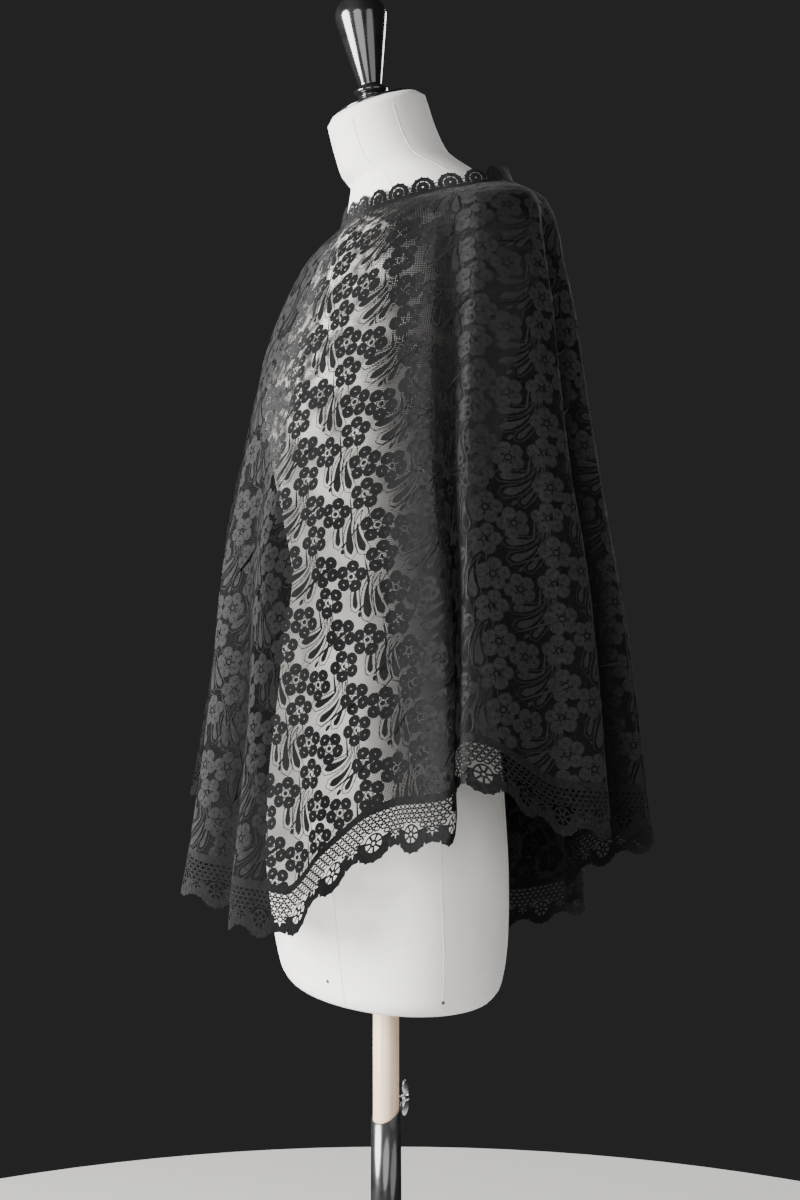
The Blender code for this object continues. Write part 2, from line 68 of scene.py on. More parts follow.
# the cape's cut and how it hangs
cape = {
    # drop, half width, front reach, back reach, share of the fall at the side, front and back
    "rings": [
        (0.00, 0.115, 0.040, 0.120, 0.0000, 0.0000, 0.0000),
        (0.05, 0.148, 0.071, 0.152, 0.0200, 0.0550, 0.0440),
        (0.10, 0.173, 0.089, 0.160, 0.0480, 0.1180, 0.0920),
        (0.15, 0.186, 0.103, 0.165, 0.1000, 0.1770, 0.1460),
        (0.25, 0.199, 0.124, 0.180, 0.2200, 0.2930, 0.2440),
        (0.40, 0.209, 0.143, 0.196, 0.3800, 0.4350, 0.4000),
        (0.55, 0.221, 0.160, 0.212, 0.5350, 0.5760, 0.5500),
        (0.70, 0.233, 0.168, 0.228, 0.6900, 0.7170, 0.7000),
        (0.85, 0.245, 0.178, 0.240, 0.8450, 0.8590, 0.8500),
        (1.00, 0.257, 0.190, 0.250, 1.0000, 1.0000, 1.0000),
    ],
    # angle, height of the neckline, height of the neck lace's tips
    "neck": [
        (0, 1.3586, 1.3780), (40, 1.3617, 1.3805), (65, 1.3666, 1.3845), (90, 1.3730, 1.3900),
        (110, 1.3810, 1.3975), (145, 1.3925, 1.4090), (180, 1.3960, 1.4130), (215, 1.3925, 1.4090),
        (250, 1.3810, 1.3975), (270, 1.3730, 1.3900), (295, 1.3666, 1.3845), (320, 1.3617, 1.3805),
    ],
    # angle at the hem, angle at the neckline, inset at the hem, drop where the fold starts
    "folds": [
        (-5, -2, 0.004, 0.20), (8, 10, 0.036, 0.20), (24, 27, 0.006, 0.22), (40, 42, 0.014, 0.20),
        (53, 50, 0.034, 0.15), (62, 58, 0.036, 0.10), (73.5, 70, 0.002, 0.03),
        (78.5, 81, 0.036, 0.03), (84, 91, 0.006, 0.03), (98, 106, 0.010, 0.03),
        (113, 117, 0.000, 0.03), (127, 127, 0.054, 0.03), (138, 138, 0.006, 0.03),
        (151, 151, 0.062, 0.04), (165, 165, 0.000, 0.04), (181, 181, 0.064, 0.04),
        (197, 197, 0.002, 0.04), (213, 213, 0.064, 0.03), (230, 230, 0.004, 0.03),
        (246, 247, 0.062, 0.03), (261, 263, 0.002, 0.03), (276, 278, 0.062, 0.03),
        (293, 294, 0.000, 0.12), (309, 310, 0.056, 0.22), (324, 326, -0.008, 0.20),
        (341, 342, 0.046, 0.20),
    ],
    # angle, height of the seam above the hem lace
    "hem": [
        (0, 0.762), (15, 0.757), (24, 0.7565), (33, 0.756), (38, 0.755), (41, 0.764),
        (45, 0.788), (49, 0.803), (56, 0.823), (63, 0.8325), (73.5, 0.844), (78.5, 0.868),
        (84, 0.89), (94, 0.868), (103, 0.849),
        (125, 0.838), (150, 0.826), (168, 0.800), (190, 0.730),
        (210, 0.702), (235, 0.748), (260, 0.822), (290, 0.862), (320, 0.854), (340, 0.806),
    ],
    # small creases: angle at the hem, angle at the neckline, first and last drop, half width,
    # depth inwards
    "creases": [
        (47, 46, 0.30, 1.00, 4.0, 0.0030), (30, 33, 0.45, 1.00, 3.0, 0.0030),
        (45, 47, 0.05, 0.40, 5.0, 0.0025), (90, 97, 0.20, 0.80, 3.0, 0.0030),
        (106, 108, 0.25, 0.95, 3.5, -0.0030), (119, 112, 0.10, 0.60, 3.0, 0.0030),
        (132, 136, 0.40, 1.00, 3.0, -0.0030), (158, 150, 0.15, 0.70, 4.0, 0.0035),
        (172, 176, 0.35, 1.00, 3.5, 0.0030), (190, 186, 0.10, 0.65, 4.0, -0.0030),
        (205, 209, 0.40, 1.00, 3.0, 0.0030), (222, 216, 0.15, 0.75, 3.5, 0.0035),
        (238, 242, 0.40, 1.00, 3.0, -0.0030), (254, 250, 0.20, 0.80, 4.0, 0.0030),
        (269, 273, 0.45, 1.00, 3.0, 0.0030), (285, 280, 0.10, 0.70, 3.5, 0.0035),
        (301, 305, 0.35, 1.00, 3.5, -0.0030), (316, 312, 0.20, 0.75, 3.0, 0.0030),
        (333, 337, 0.35, 1.00, 4.0, 0.0035), (350, 346, 0.30, 1.00, 4.0, -0.0030),
        (6, 8, 0.35, 1.00, 4.0, 0.0030), (31, 26, 0.25, 0.85, 3.5, -0.0030),
    ],
    # folds that lean over: angle at the hem, angle at the neckline, half width, shift along the
    # ring at the hem
    "leans": [
        (73.5, 70, 4.5, 0.012), (84, 91, 4.5, -0.012), (113, 117, 9.0, 0.010),
        (138, 138, 6.0, 0.008), (165, 165, 8.0, -0.008), (197, 197, 8.0, 0.008),
        (230, 230, 7.0, -0.008), (261, 263, 7.0, 0.008), (293, 294, 8.0, -0.008),
        (324, 326, 8.0, -0.006),
    ],
    "panels": {"front": (-90.0, 90.0), "back": (90.0, 270.0)},
    "columns": 240,
    "rows": 64,
    "backFromOuterFace": 0.0003,
    # each pair: where the change starts, and where it is full
    "paintedSheenFront": (29.0, 20.0),    # painted sheen: greyer yarn, by the angle each way from the front
    "paintedSheenSide": (64.0, 78.0),
    "paintedFoldShade": (0.005, 0.026),    # painted shade: darker yarn, by the depth of the fold
    "closerSide": (67.0, 77.0),     # net that looks closer, by the angle from the front
    "closerSteep": (0.80, 0.30),    # and by how far the cloth faces outwards
    "frontShare": 0.45,             # how close the net looks at the front
    "rowPower": 1.15,               # above 1, rows lie closer near the neckline
    "hangFrom": 0.86,               # the hem lace follows the cloth's direction from this drop on
}


def besideFold(angles, hemAngle, neckAngle, drop):
    # degrees from a fold's own line, which runs from its angle at the neckline to that at the hem
    return (angles - (neckAngle + (hemAngle - neckAngle) * drop) + 180) % 360 - 180


def foldInset(angles, drop):
    folds = np.array(cape["folds"])
    places = folds[:, 1] + (folds[:, 0] - folds[:, 1]) * drop
    starts = roundCurve(places, folds[:, 3], angles)
    grown = np.maximum(0.0, 1 - (1 - drop) / (1 - starts)) ** 0.85
    return roundCurve(places, folds[:, 2], angles) * grown


def between(values, start, end):
    return np.clip((values - start) / (end - start), 0, 1)


def paintedLightOf(angles, drop):
    # painted light: the yarn is greyer, as painted sheen, where the cloth hangs free of the form,
    # and darker, as painted shade, deep in the folds
    away = np.abs((angles + 180) % 360 - 180)
    share = np.maximum(between(away, *cape["paintedSheenFront"]), between(away, *cape["paintedSheenSide"]))
    return share * (1 - between(foldInset(angles, drop), *cape["paintedFoldShade"]))


def capePoints(angles, drop):
    # points of the cloth at one drop; drop 0 is the neckline, 1 is the seam above the hem lace
    rings = np.array(cape["rings"])
    width, front, back, sideFall, frontFall, backFall = (
        float(smoothCurve(rings[:, 0], rings[:, k], drop)) for k in range(1, 7))
    turn = np.radians(angles)
    sine, cosine = np.sin(turn), np.cos(turn)
    centre, depth = (back - front) / 2, (back + front) / 2
    fall = sideFall * sine**2 + np.where(cosine > 0, frontFall, backFall) * cosine**2
    neck, hem = np.array(cape["neck"]), np.array(cape["hem"])
    neckline = roundCurve(neck[:, 0], neck[:, 1], angles)
    height = neckline + (roundCurve(hem[:, 0], hem[:, 1], angles) - neckline) * fall
    inset = foldInset(angles, drop) + cape["backFromOuterFace"]
    for hemAngle, neckAngle, first, last, halfWidth, depthIn in cape["creases"]:
        off = besideFold(angles, hemAngle, neckAngle, drop)
        along = min(max((drop - first) / (last - first), 0.0), 1.0)
        swell = math.sin(math.pi * along) if last < 1 else min(1.0, along * 1.6)
        inset = inset + depthIn * max(swell, 0.0) * np.exp(-(off / halfWidth) ** 2)
    along = np.stack((width * cosine, depth * sine), 1)
    along /= np.linalg.norm(along, axis=1)[:, None]
    outward = np.stack((along[:, 1], -along[:, 0]), 1)
    slide = np.zeros_like(sine)
    for hemAngle, neckAngle, halfWidth, shift in cape["leans"]:
        off = besideFold(angles, hemAngle, neckAngle, drop)
        slide += shift * min(1.0, drop * 1.5) * np.exp(-(off / halfWidth) ** 2)
    flat = np.stack((width * sine, centre - depth * cosine), 1)
    flat = flat - outward * inset[:, None] + along * slide[:, None]
    return np.column_stack((flat, height))


def runOf(points):
    # the length along a line of points, up to each of them
    return np.concatenate(([0.0], np.cumsum(np.linalg.norm(np.diff(points, axis=0), axis=1))))


def panelChart(start, end):
    # rings cut into equal lengths, with how far each point lies below the neckline along the cloth
    fine = np.linspace(start, end, 1200)
    drops = np.linspace(0, 1, cape["rows"] + 1) ** cape["rowPower"]
    points, lengths, tones = [], [], []
    for drop in drops:
        run = runOf(capePoints(fine, drop))
        angles = np.interp(np.linspace(0, run[-1], cape["columns"] + 1), run, fine)
        points.append(capePoints(angles, drop))
        # painted sheen and painted fold shade of the yarn at each point
        tones.append(paintedLightOf(angles, drop))
        lengths.append(run[-1])
    points = np.array(points)
    falls = np.concatenate((np.zeros((1, points.shape[1])),
                            np.cumsum(np.linalg.norm(np.diff(points, axis=0), axis=2), axis=0)))
    normals = np.cross(np.gradient(points, axis=1), np.gradient(points, axis=0))
    normals /= np.linalg.norm(normals, axis=2)[:, :, None]
    if (normals[:, :, :2] * points[:, :, :2]).sum() < 0:
        normals = -normals
    sector, length0 = np.polyfit(falls.mean(axis=1), lengths, 1)
    hemDirections = points[-1] - capePoints(angles, cape["hangFrom"])
    hemDirections /= np.linalg.norm(hemDirections, axis=1)[:, None]
    return {"points": points, "falls": falls, "normals": normals, "tones": np.array(tones),
            "sector": sector, "neckRadius": length0 / sector, "hemDirections": hemDirections,
            "hemLength": lengths[-1]}


def blendOf(table, k, t):
    shape = (-1,) + (1,) * (table.ndim - 1)
    return table[k] * (1 - t).reshape(shape) + table[k + 1] * t.reshape(shape)


def placeAmong(share, columns):
    # the column before each share of the way across, and how far beyond it
    place = np.clip(share, 0, 1) * columns
    k = np.minimum(place.astype(int), columns - 1)
    return k, place - k


def onCloth(chart, across, fall, lift):
    # points at a share of the way across the panel and a distance below the neckline
    rows, columns = (n - 1 for n in chart["falls"].shape)
    k, t = placeAmong(across, columns)
    runs = chart["falls"][:, k] * (1 - t) + chart["falls"][:, k + 1] * t
    i = np.clip((runs <= fall).sum(axis=0) - 1, 0, rows - 1)
    each = np.arange(len(k))
    s = np.clip((fall - runs[i, each]) / (runs[i + 1, each] - runs[i, each]), 0, 1)
    weights = ((i, k, (1 - s) * (1 - t)), (i, k + 1, (1 - s) * t),
               (i + 1, k, s * (1 - t)), (i + 1, k + 1, s * t))
    points = sum(chart["points"][a, b] * w[:, None] for a, b, w in weights)
    normals = sum(chart["normals"][a, b] * w[:, None] for a, b, w in weights)
    normals /= np.linalg.norm(normals, axis=1)[:, None]
    # and the painted sheen and painted fold shade there
    tones = sum(chart["tones"][a, b] * w for a, b, w in weights)
    return points + normals * lift, runs[-1], tones


def flatPlace(chart, upright, across, fall):
    # where a point of the panel lies when cut flat; the pattern is upright at this share across
    turn = (across - upright) * chart["sector"]
    radius = chart["neckRadius"] + fall
    return radius * np.sin(turn), chart["neckRadius"] - radius * np.cos(turn)


def added(name, data):
    made = bpy.data.objects.new(name, data)
    bpy.context.scene.collection.objects.link(made)
    return made


def finished(name, mesh, material, body, replaced=()):
    made = added(name, mesh)
    mesh.materials.clear()
    mesh.materials.append(material)
    mesh.shade_smooth()
    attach(made, body)
    if replaced:
        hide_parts(*replaced)
    return made


def meshOf(name, bm):
    mesh = bpy.data.meshes.new(name)
    bm.to_mesh(mesh)
    bm.free()
    return mesh


def trianglesOf(mesh):
    return sum(len(face.vertices) - 2 for face in mesh.polygons)


def coordinates(mesh):
    flat = np.empty(len(mesh.vertices) * 3)
    mesh.vertices.foreach_get("co", flat)
    return flat.reshape(-1, 3)


def moveTo(mesh, points):
    mesh.vertices.foreach_set("co", np.asarray(points, np.float32).ravel())
    mesh.update()


def giveUv(mesh, x, y):
    corners = np.empty(len(mesh.loops), int)
    mesh.loops.foreach_get("vertex_index", corners)
    layer = mesh.uv_layers.new(name="cloth")
    layer.data.foreach_set("uv", np.stack((x[corners], y[corners]), 1).astype(np.float32).ravel())


def outwards(mesh, normals):
    # turns the whole mesh over if most of its faces look inwards
    mesh.update()
    facing = 0.0
    for i in range(0, len(mesh.polygons), max(1, len(mesh.polygons) // 4000)):
        face = mesh.polygons[i]
        facing += Vector(normals[face.vertices[0]]).dot(face.normal)
    if facing < 0:
        mesh.flip_normals()


def spun(name, outline, steps, material, body, replaced, place=None):
    # outline of (radius, height), turned round Z and put in place
    bm = bmesh.new()
    made = [bm.verts.new((r, 0, z)) for r, z in outline]
    edges = [bm.edges.new(pair) for pair in zip(made, made[1:])]
    bmesh.ops.spin(bm, geom=made + edges, cent=(0, 0, 0), axis=(0, 0, 1), angle=2 * math.pi,
                   steps=steps, use_merge=True, use_duplicate=False)
    bmesh.ops.remove_doubles(bm, verts=bm.verts[:], dist=0.00001)
    bmesh.ops.recalc_face_normals(bm, faces=bm.faces[:])
    if place:
        bmesh.ops.transform(bm, matrix=place, verts=bm.verts[:])
    return finished(name, meshOf(name, bm), material, body, replaced)


def newGroup(name, inputs, outputs):
    group = bpy.data.node_groups.new(name, "ShaderNodeTree")
    for label, kind, value in inputs:
        socket = group.interface.new_socket(label, in_out="INPUT", socket_type=kind)
        if value is not None:
            socket.default_value = value
    for label, kind in outputs:
        group.interface.new_socket(label, in_out="OUTPUT", socket_type=kind)
    start, end = group.nodes.new("NodeGroupInput"), group.nodes.new("NodeGroupOutput")
    return group, start, end


def node(tree, kind, **values):
    made = tree.nodes.new(kind)
    for key, value in values.items():
        setattr(made, key, value)
    return made


def math2(tree, operation, a, b=None, c=None):
    made = tree.nodes.new("ShaderNodeMath")
    made.operation = operation
    for i, value in enumerate((a, b, c)):
        if value is None:
            continue
        if isinstance(value, (int, float)):
            made.inputs[i].default_value = value
        else:
            tree.links.new(value, made.inputs[i])
    return made.outputs[0]


def noiseOf(tree, place, scale, detail, dimensions="3D"):
    made = node(tree, "ShaderNodeTexNoise", noise_dimensions=dimensions)
    made.inputs["Scale"].default_value = scale
    made.inputs["Detail"].default_value = detail
    tree.links.new(place, made.inputs["Vector"])
    return made.outputs[0]


def partsOf(tree, place, factor):
    # x, y and z of a place times a factor
    scaled = node(tree, "ShaderNodeVectorMath", operation="SCALE")
    tree.links.new(place, scaled.inputs[0])
    tree.links.new(factor, scaled.inputs["Scale"])
    parts = node(tree, "ShaderNodeSeparateXYZ")
    tree.links.new(scaled.outputs[0], parts.inputs[0])
    return parts.outputs


def netGroup():
    # round holes on a close triangular lattice; what is left between them is thread
    group, start, end = newGroup("fine net", [
        ("Cloth", "NodeSocketVector", None), ("Cell", "NodeSocketFloat", 0.0017),
        ("Thread", "NodeSocketFloat", -0.55), ("Edge", "NodeSocketFloat", 0.25)],
        [("Mask", "NodeSocketFloat")])
    cloth, cell, thread, edge = (start.outputs[k] for k in ("Cloth", "Cell", "Thread", "Edge"))
    x, y, _ = partsOf(group, cloth, math2(group, "DIVIDE", 2 * math.pi, cell))
    half = math2(group, "MULTIPLY", x, 0.5)
    rise = math2(group, "MULTIPLY", y, math.cos(math.pi / 6))
    total = math2(group, "ADD", math2(group, "COSINE", x),
                  math2(group, "ADD", math2(group, "COSINE", math2(group, "ADD", half, rise)),
                        math2(group, "COSINE", math2(group, "SUBTRACT", half, rise))))
    step = node(group, "ShaderNodeMapRange", interpolation_type="SMOOTHSTEP")
    group.links.new(total, step.inputs["Value"])
    group.links.new(math2(group, "SUBTRACT", thread, edge), step.inputs["From Min"])
    group.links.new(math2(group, "ADD", thread, edge), step.inputs["From Max"])
    step.inputs["To Min"].default_value, step.inputs["To Max"].default_value = 1.0, 0.0
    group.links.new(step.outputs[0], end.inputs["Mask"])
    return group


def weaveGroup():
    # plain weave of two thread directions, as a height and as a colour share
    group, start, end = newGroup("plain weave", [
        ("Place", "NodeSocketVector", None), ("Pitch", "NodeSocketFloat", 0.0007)],
        [("Height", "NodeSocketFloat"), ("Shade", "NodeSocketFloat")])
    place = start.outputs["Place"]
    x, y, z = partsOf(group, place, math2(group, "DIVIDE", math.pi, start.outputs["Pitch"]))
    over = math2(group, "MULTIPLY", math2(group, "SINE", math2(group, "ADD", x, y)),
                 math2(group, "SINE", z))
    uneven = noiseOf(group, place, 420.0, 3.0)
    height = math2(group, "ADD", math2(group, "MULTIPLY", over, 0.5), uneven)
    group.links.new(height, end.inputs["Height"])
    group.links.new(uneven, end.inputs["Shade"])
    return group


groups = {"net": netGroup(), "weave": weaveGroup()}


def plainMaterial(name, colour, roughness, metallic=0.0):
    made = bpy.data.materials.new(name)
    made.use_nodes = True
    shader = made.node_tree.nodes["Principled BSDF"]
    shader.inputs["Base Color"].default_value = (*colour, 1)
    shader.inputs["Roughness"].default_value = roughness
    shader.inputs["Metallic"].default_value = metallic
    return made, made.node_tree, shader


def groupIn(tree, name, **values):
    made = tree.nodes.new("ShaderNodeGroup")
    made.node_tree = groups[name]
    for key, value in values.items():
        made.inputs[key].default_value = value
    return made


def bumped(tree, shader, height, strength, distance):
    bump = node(tree, "ShaderNodeBump")
    bump.inputs["Strength"].default_value = strength
    bump.inputs["Distance"].default_value = distance
    tree.links.new(height, bump.inputs["Height"])
    tree.links.new(bump.outputs[0], shader.inputs["Normal"])


def shaded(tree, shader, factor, dark, light, low=0.35, high=0.65, further=()):
    # a colour ramp from dark to light, with further places and colours above them
    ramp = node(tree, "ShaderNodeValToRGB")
    first, second = ramp.color_ramp.elements
    first.position, second.position = low, high
    first.color, second.color = (*dark, 1), (*light, 1)
    for place, colour in further:
        ramp.color_ramp.elements.new(place).color = (*colour, 1)
    tree.links.new(factor, ramp.inputs[0])
    tree.links.new(ramp.outputs[0], shader.inputs["Base Color"])


yarn = {
    "roughness": 0.8,
    "sheenRoughness": 0.3,
    "specular": 0.05,
    "edge": 0.3,                    # how soft the edge of each hole is
    "closing": 2.4,                 # more thread where the attribute pleat is 1
    "unpierced": 0.6,               # thread of a net that is only a bump
    "patches": (260.0, 2.0),        # scale and detail of the uneven colour
    "plain": (0.175, 0.325),        # where the ramp goes from dark to light, for the plain yarn
    "paintedSheenRamp": (0.675, 0.825),         # and for the greyer copy of the yarn, which is painted sheen
}


def threadMaterial(name, dark, light, cell, thread=None, sheen=0.25, paintedSheenGain=None):
    # black yarn; with thread given, the cloth is pierced by a fine net
    made, tree, shader = plainMaterial(name, light, yarn["roughness"])
    shader.inputs["Sheen Weight"].default_value = sheen
    shader.inputs["Sheen Roughness"].default_value = yarn["sheenRoughness"]
    shader.inputs["Specular IOR Level"].default_value = yarn["specular"]
    cloth = node(tree, "ShaderNodeUVMap", uv_map="cloth")
    pierced = thread is not None
    net = groupIn(tree, "net", Cell=cell, Thread=thread if pierced else yarn["unpierced"],
                  Edge=yarn["edge"])
    tree.links.new(cloth.outputs[0], net.inputs["Cloth"])
    patches = noiseOf(tree, cloth.outputs[0], *yarn["patches"], "2D")
    if paintedSheenGain:
        # one ramp holds the plain yarn and its greyer copy, which is painted sheen; the attribute
        # of painted sheen and painted fold shade moves from the one to the other
        paintedLight = node(tree, "ShaderNodeAttribute", attribute_name="paintedLight")
        patchesAndPaintedLight = math2(tree, "MULTIPLY", math2(tree, "ADD", patches, paintedLight.outputs["Fac"]), 0.5)
        further = [(place, [v * paintedSheenGain for v in colour])
                   for place, colour in zip(yarn["paintedSheenRamp"], (dark, light))]
        shaded(tree, shader, patchesAndPaintedLight, dark, light, *yarn["plain"], further)
    else:
        shaded(tree, shader, patches, dark, light)
    if pierced:
        pleat = node(tree, "ShaderNodeAttribute", attribute_name="pleat")
        closed = math2(tree, "MULTIPLY_ADD", pleat.outputs["Fac"], yarn["closing"], thread)
        tree.links.new(closed, net.inputs["Thread"])
        tree.links.new(net.outputs[0], shader.inputs["Alpha"])
    else:
        bumped(tree, shader, net.outputs[0], 0.5, 0.0004)
    return made


def linenMaterial():
    made, tree, shader = plainMaterial("white linen", (0.80, 0.785, 0.755), 0.85)
    shader.inputs["Specular IOR Level"].default_value = 0.2
    place = node(tree, "ShaderNodeTexCoord").outputs["Object"]
    weave = groupIn(tree, "weave", Pitch=0.0008)
    tree.links.new(place, weave.inputs["Place"])
    bumped(tree, shader, weave.outputs["Height"], 0.35, 0.0005)
    mixed = math2(tree, "ADD", math2(tree, "MULTIPLY", weave.outputs["Shade"], 0.35),
                  math2(tree, "MULTIPLY", noiseOf(tree, place, 9.0, 5.0), 0.65))
    shaded(tree, shader, mixed, (0.74, 0.72, 0.68), (0.84, 0.83, 0.805))
    return made


def glossMaterial(name, dark, light, roughness, metallic=0.0, coat=0.6):
    made, tree, shader = plainMaterial(name, light, roughness, metallic)
    shader.inputs["Coat Weight"].default_value = coat
    shader.inputs["Coat Roughness"].default_value = 0.06
    place = node(tree, "ShaderNodeTexCoord").outputs["Object"]
    mottle = noiseOf(tree, place, 60.0, 4.0)
    shaded(tree, shader, mottle, dark, light)
    spread = node(tree, "ShaderNodeMapRange")
    tree.links.new(mottle, spread.inputs["Value"])
    spread.inputs["To Min"].default_value = roughness * 0.8
    spread.inputs["To Max"].default_value = roughness * 1.3
    tree.links.new(spread.outputs[0], shader.inputs["Roughness"])
    bumped(tree, shader, mottle, 0.05, 0.0004)
    return made


def woodMaterial():
    made, tree, shader = plainMaterial("pale beech", (0.72, 0.56, 0.42), 0.45)
    stretch = node(tree, "ShaderNodeMapping")
    stretch.inputs["Scale"].default_value = (160.0, 160.0, 7.0)
    place = node(tree, "ShaderNodeTexCoord").outputs["Object"]
    tree.links.new(place, stretch.inputs["Vector"])
    grain = noiseOf(tree, stretch.outputs[0], 1.0, 6.0)
    shaded(tree, shader, grain, (0.60, 0.43, 0.30), (0.78, 0.62, 0.47), 0.3, 0.7)
    bumped(tree, shader, grain, 0.15, 0.0003)
    return made


finishes = {
    # the last number of each black yarn scales its greyer copy, which is painted sheen
    "net": threadMaterial("black net", (0.0045, 0.0045, 0.0047), (0.0075, 0.0075, 0.0077), 0.0015,
                          thread=-0.95, sheen=0.05, paintedSheenGain=1.5),
    "motifs": threadMaterial("black lace figures", (0.0050, 0.0050, 0.0052),
                             (0.0070, 0.0070, 0.0072), 0.0011, sheen=0.03, paintedSheenGain=4.6),
    "trim": threadMaterial("black edging yarn", (0.0040, 0.0040, 0.0042),
                           (0.0070, 0.0070, 0.0072), 0.0013, sheen=0.03, paintedSheenGain=3.2),
    "linen": linenMaterial(),
    "seamThread": threadMaterial("white seam thread", (0.62, 0.60, 0.56), (0.74, 0.72, 0.68),
                                 0.0009),
    "lacquer": glossMaterial("black lacquer", (0.008, 0.008, 0.009), (0.014, 0.014, 0.015), 0.16),
    "enamel": glossMaterial("black enamel", (0.010, 0.010, 0.011), (0.018, 0.018, 0.019), 0.22),
    "steel": glossMaterial("bright steel", (0.55, 0.55, 0.56), (0.70, 0.70, 0.71), 0.25, 1.0, 0.0),
    "iron": glossMaterial("dark nail", (0.05, 0.05, 0.05), (0.10, 0.10, 0.10), 0.4, 1.0, 0.0),
    "beech": woodMaterial(),
}
print("materials made")


charts = {side: panelChart(*angles) for side, angles in cape["panels"].items()}
uprightAt = {"front": 1.0, "back": 0.0}     # the pattern stands upright at the near side seam
for side, chart in charts.items():
    print(side, "sector %.3f rad, neck radius %.3f m, hem %.3f m, fall %.3f m"
          % (chart["sector"], chart["neckRadius"], chart["hemLength"], chart["falls"][-1].mean()))


def levelDirections(vectors):
    return vectors[:, :2] / np.linalg.norm(vectors[:, :2], axis=1)[:, None]


def giveShare(mesh, name, share):
    layer = mesh.attributes.new(name, "FLOAT", "POINT")
    layer.data.foreach_set("value", np.asarray(share, np.float32))


def givePleat(mesh):
    # the net looks closer on the sides of the folds, and where the folds lie over each other
    points = coordinates(mesh)
    normals = np.empty(len(points) * 3)
    mesh.vertices.foreach_get("normal", normals)
    facing = (levelDirections(points) * levelDirections(normals.reshape(-1, 3))).sum(axis=1)
    away = np.abs(np.degrees(np.arctan2(points[:, 0], -points[:, 1])))
    share = np.maximum(between(facing, *cape["closerSteep"]), between(away, *cape["closerSide"]))
    front = cape["frontShare"] * between(away, *cape["paintedSheenFront"])
    giveShare(mesh, "pleat", np.maximum(share, front))


def netPanel(side):
    chart = charts[side]
    rows, columns = (n - 1 for n in chart["falls"].shape)
    bm = bmesh.new()
    bmesh.ops.create_grid(bm, x_segments=columns, y_segments=rows, size=0.5)
    mesh = meshOf("net_" + side, bm)
    flat = coordinates(mesh)
    column = np.rint((flat[:, 0] + 0.5) * columns).astype(int)
    row = np.rint((0.5 - flat[:, 1]) * rows).astype(int)
    moveTo(mesh, chart["points"][row, column])
    outwards(mesh, chart["normals"][row, column])
    givePleat(mesh)
    # painted sheen and painted fold shade for the yarn's colour
    giveShare(mesh, "paintedLight", chart["tones"][row, column])
    fall = chart["falls"][row, column]
    giveUv(mesh, *flatPlace(chart, uprightAt[side], column / columns, fall))
    return finished("net_" + side, mesh, finishes["net"], "bust", ("cape_" + side,))


nets = {side: netPanel(side) for side in charts}
print("net panels made")


# the lace figures, drawn flat in units of their own
figures = {
    "pitch": (43.5, 46.6),
    "columnRise": 15.5,             # each column lies this much higher than the one before
    "unit": (0.0015, 0.00122),      # metres across and down for each unit of this drawing
    "tilt": -12.0,                  # how far each cluster is turned, in degrees
    "lift": 0.0004,
    # centre, radius, turn of each flower
    "flowers": [((0.0, 0.0), 11.6, 16), ((19.4, -7.2), 11.4, 50), ((2.0, -22.2), 11.2, 84)],
    "petal": {"count": 5, "place": 0.645, "size": (0.42, 0.365), "rim": 0.32, "segments": 10},
    "eye": {"outer": 0.31, "rim": 0.06, "core": 0.15, "segments": 10},
    "fanFrom": (2.0, -22.2),
    # start, bend, end, greatest width, share of the length where the leaf starts
    "leaves": {
        "hanging": [
            ((-4.5, -9.5), (-14.5, -16.0), (-11.0, -39.5), 6.0, 0.30),
            ((-1.5, -10.8), (-9.5, -20.0), (-1.5, -39.0), 5.4, 0.38),
            ((-8.0, -7.5), (-22.0, -12.0), (-20.0, -32.0), 4.0, 0.48),
        ],
        "sweeping": [
            ((-4.0, -9.8), (-6.0, -22.0), (-25.5, -23.0), 5.6, 0.30),
            ((-2.0, -10.8), (-3.0, -29.0), (-21.0, -34.5), 5.6, 0.32),
            ((0.5, -10.8), (1.5, -28.0), (-8.5, -39.5), 4.2, 0.48),
        ],
    },
    # place, half width, half length, turn in radians
    "drops": {"hanging": ((-17.5, -36.0), 1.3, 2.6, 0.2),
              "sweeping": ((-13.5, -40.5), 1.3, 2.6, 2.4)},
    "turned": 25,                   # degrees by which the second column's flowers are turned
    "leafSteps": 12,
    # a leaf's width: share at its stalk, growth, its power, start and length of its round end
    "swell": (0.16, 1.05, 1.2, 0.78, 0.225),
    "threadSteps": 12,
    "threadWidth": 0.62,
    "threadOff": 1.25,
}


def bezier(a, b, c, t):
    a, b, c = np.array(a, float), np.array(b, float), np.array(c, float)
    t = np.asarray(t)[:, None]
    return a * (1 - t) ** 2 + b * 2 * t * (1 - t) + c * t * t


def towards(angle):
    return np.array([math.cos(angle), math.sin(angle)])


def sidesOf(line):
    # directions along a line and to its left, at each of its points
    along = np.gradient(line, axis=0)
    along /= np.linalg.norm(along, axis=1)[:, None]
    return along, np.stack((-along[:, 1], along[:, 0]), 1)


def ring(bm, centre, size, turn, segments, rim):
    # a flat ring: a filled circle whose inset middle is taken out
    made = bmesh.ops.create_circle(bm, cap_ends=True, segments=segments, radius=1.0)
    place = (Matrix.Translation((*centre, 0)) @ Matrix.Rotation(turn, 4, "Z")
             @ Matrix.Diagonal((*size, 1, 1)))
    bmesh.ops.transform(bm, matrix=place, verts=made["verts"])
    face = made["verts"][0].link_faces[0]
    face.normal_update()
    if rim:
        bmesh.ops.inset_individual(bm, faces=[face], thickness=rim, use_even_offset=True)
        bmesh.ops.delete(bm, geom=[face], context="FACES")
    return made


def ribbon(bm, line, widths):
    # a flat strip along a line, one width for each point
    line = np.asarray(line, float)
    side = sidesOf(line)[1]
    made = bmesh.ops.create_grid(bm, x_segments=len(line) - 1, y_segments=1, size=0.5)
    for vertex in made["verts"]:
        k = round((vertex.co.x + 0.5) * (len(line) - 1))
        point = line[k] + side[k] * widths[k] * (0.5 if vertex.co.y > 0 else -0.5)
        vertex.co = (point[0], point[1], 0)


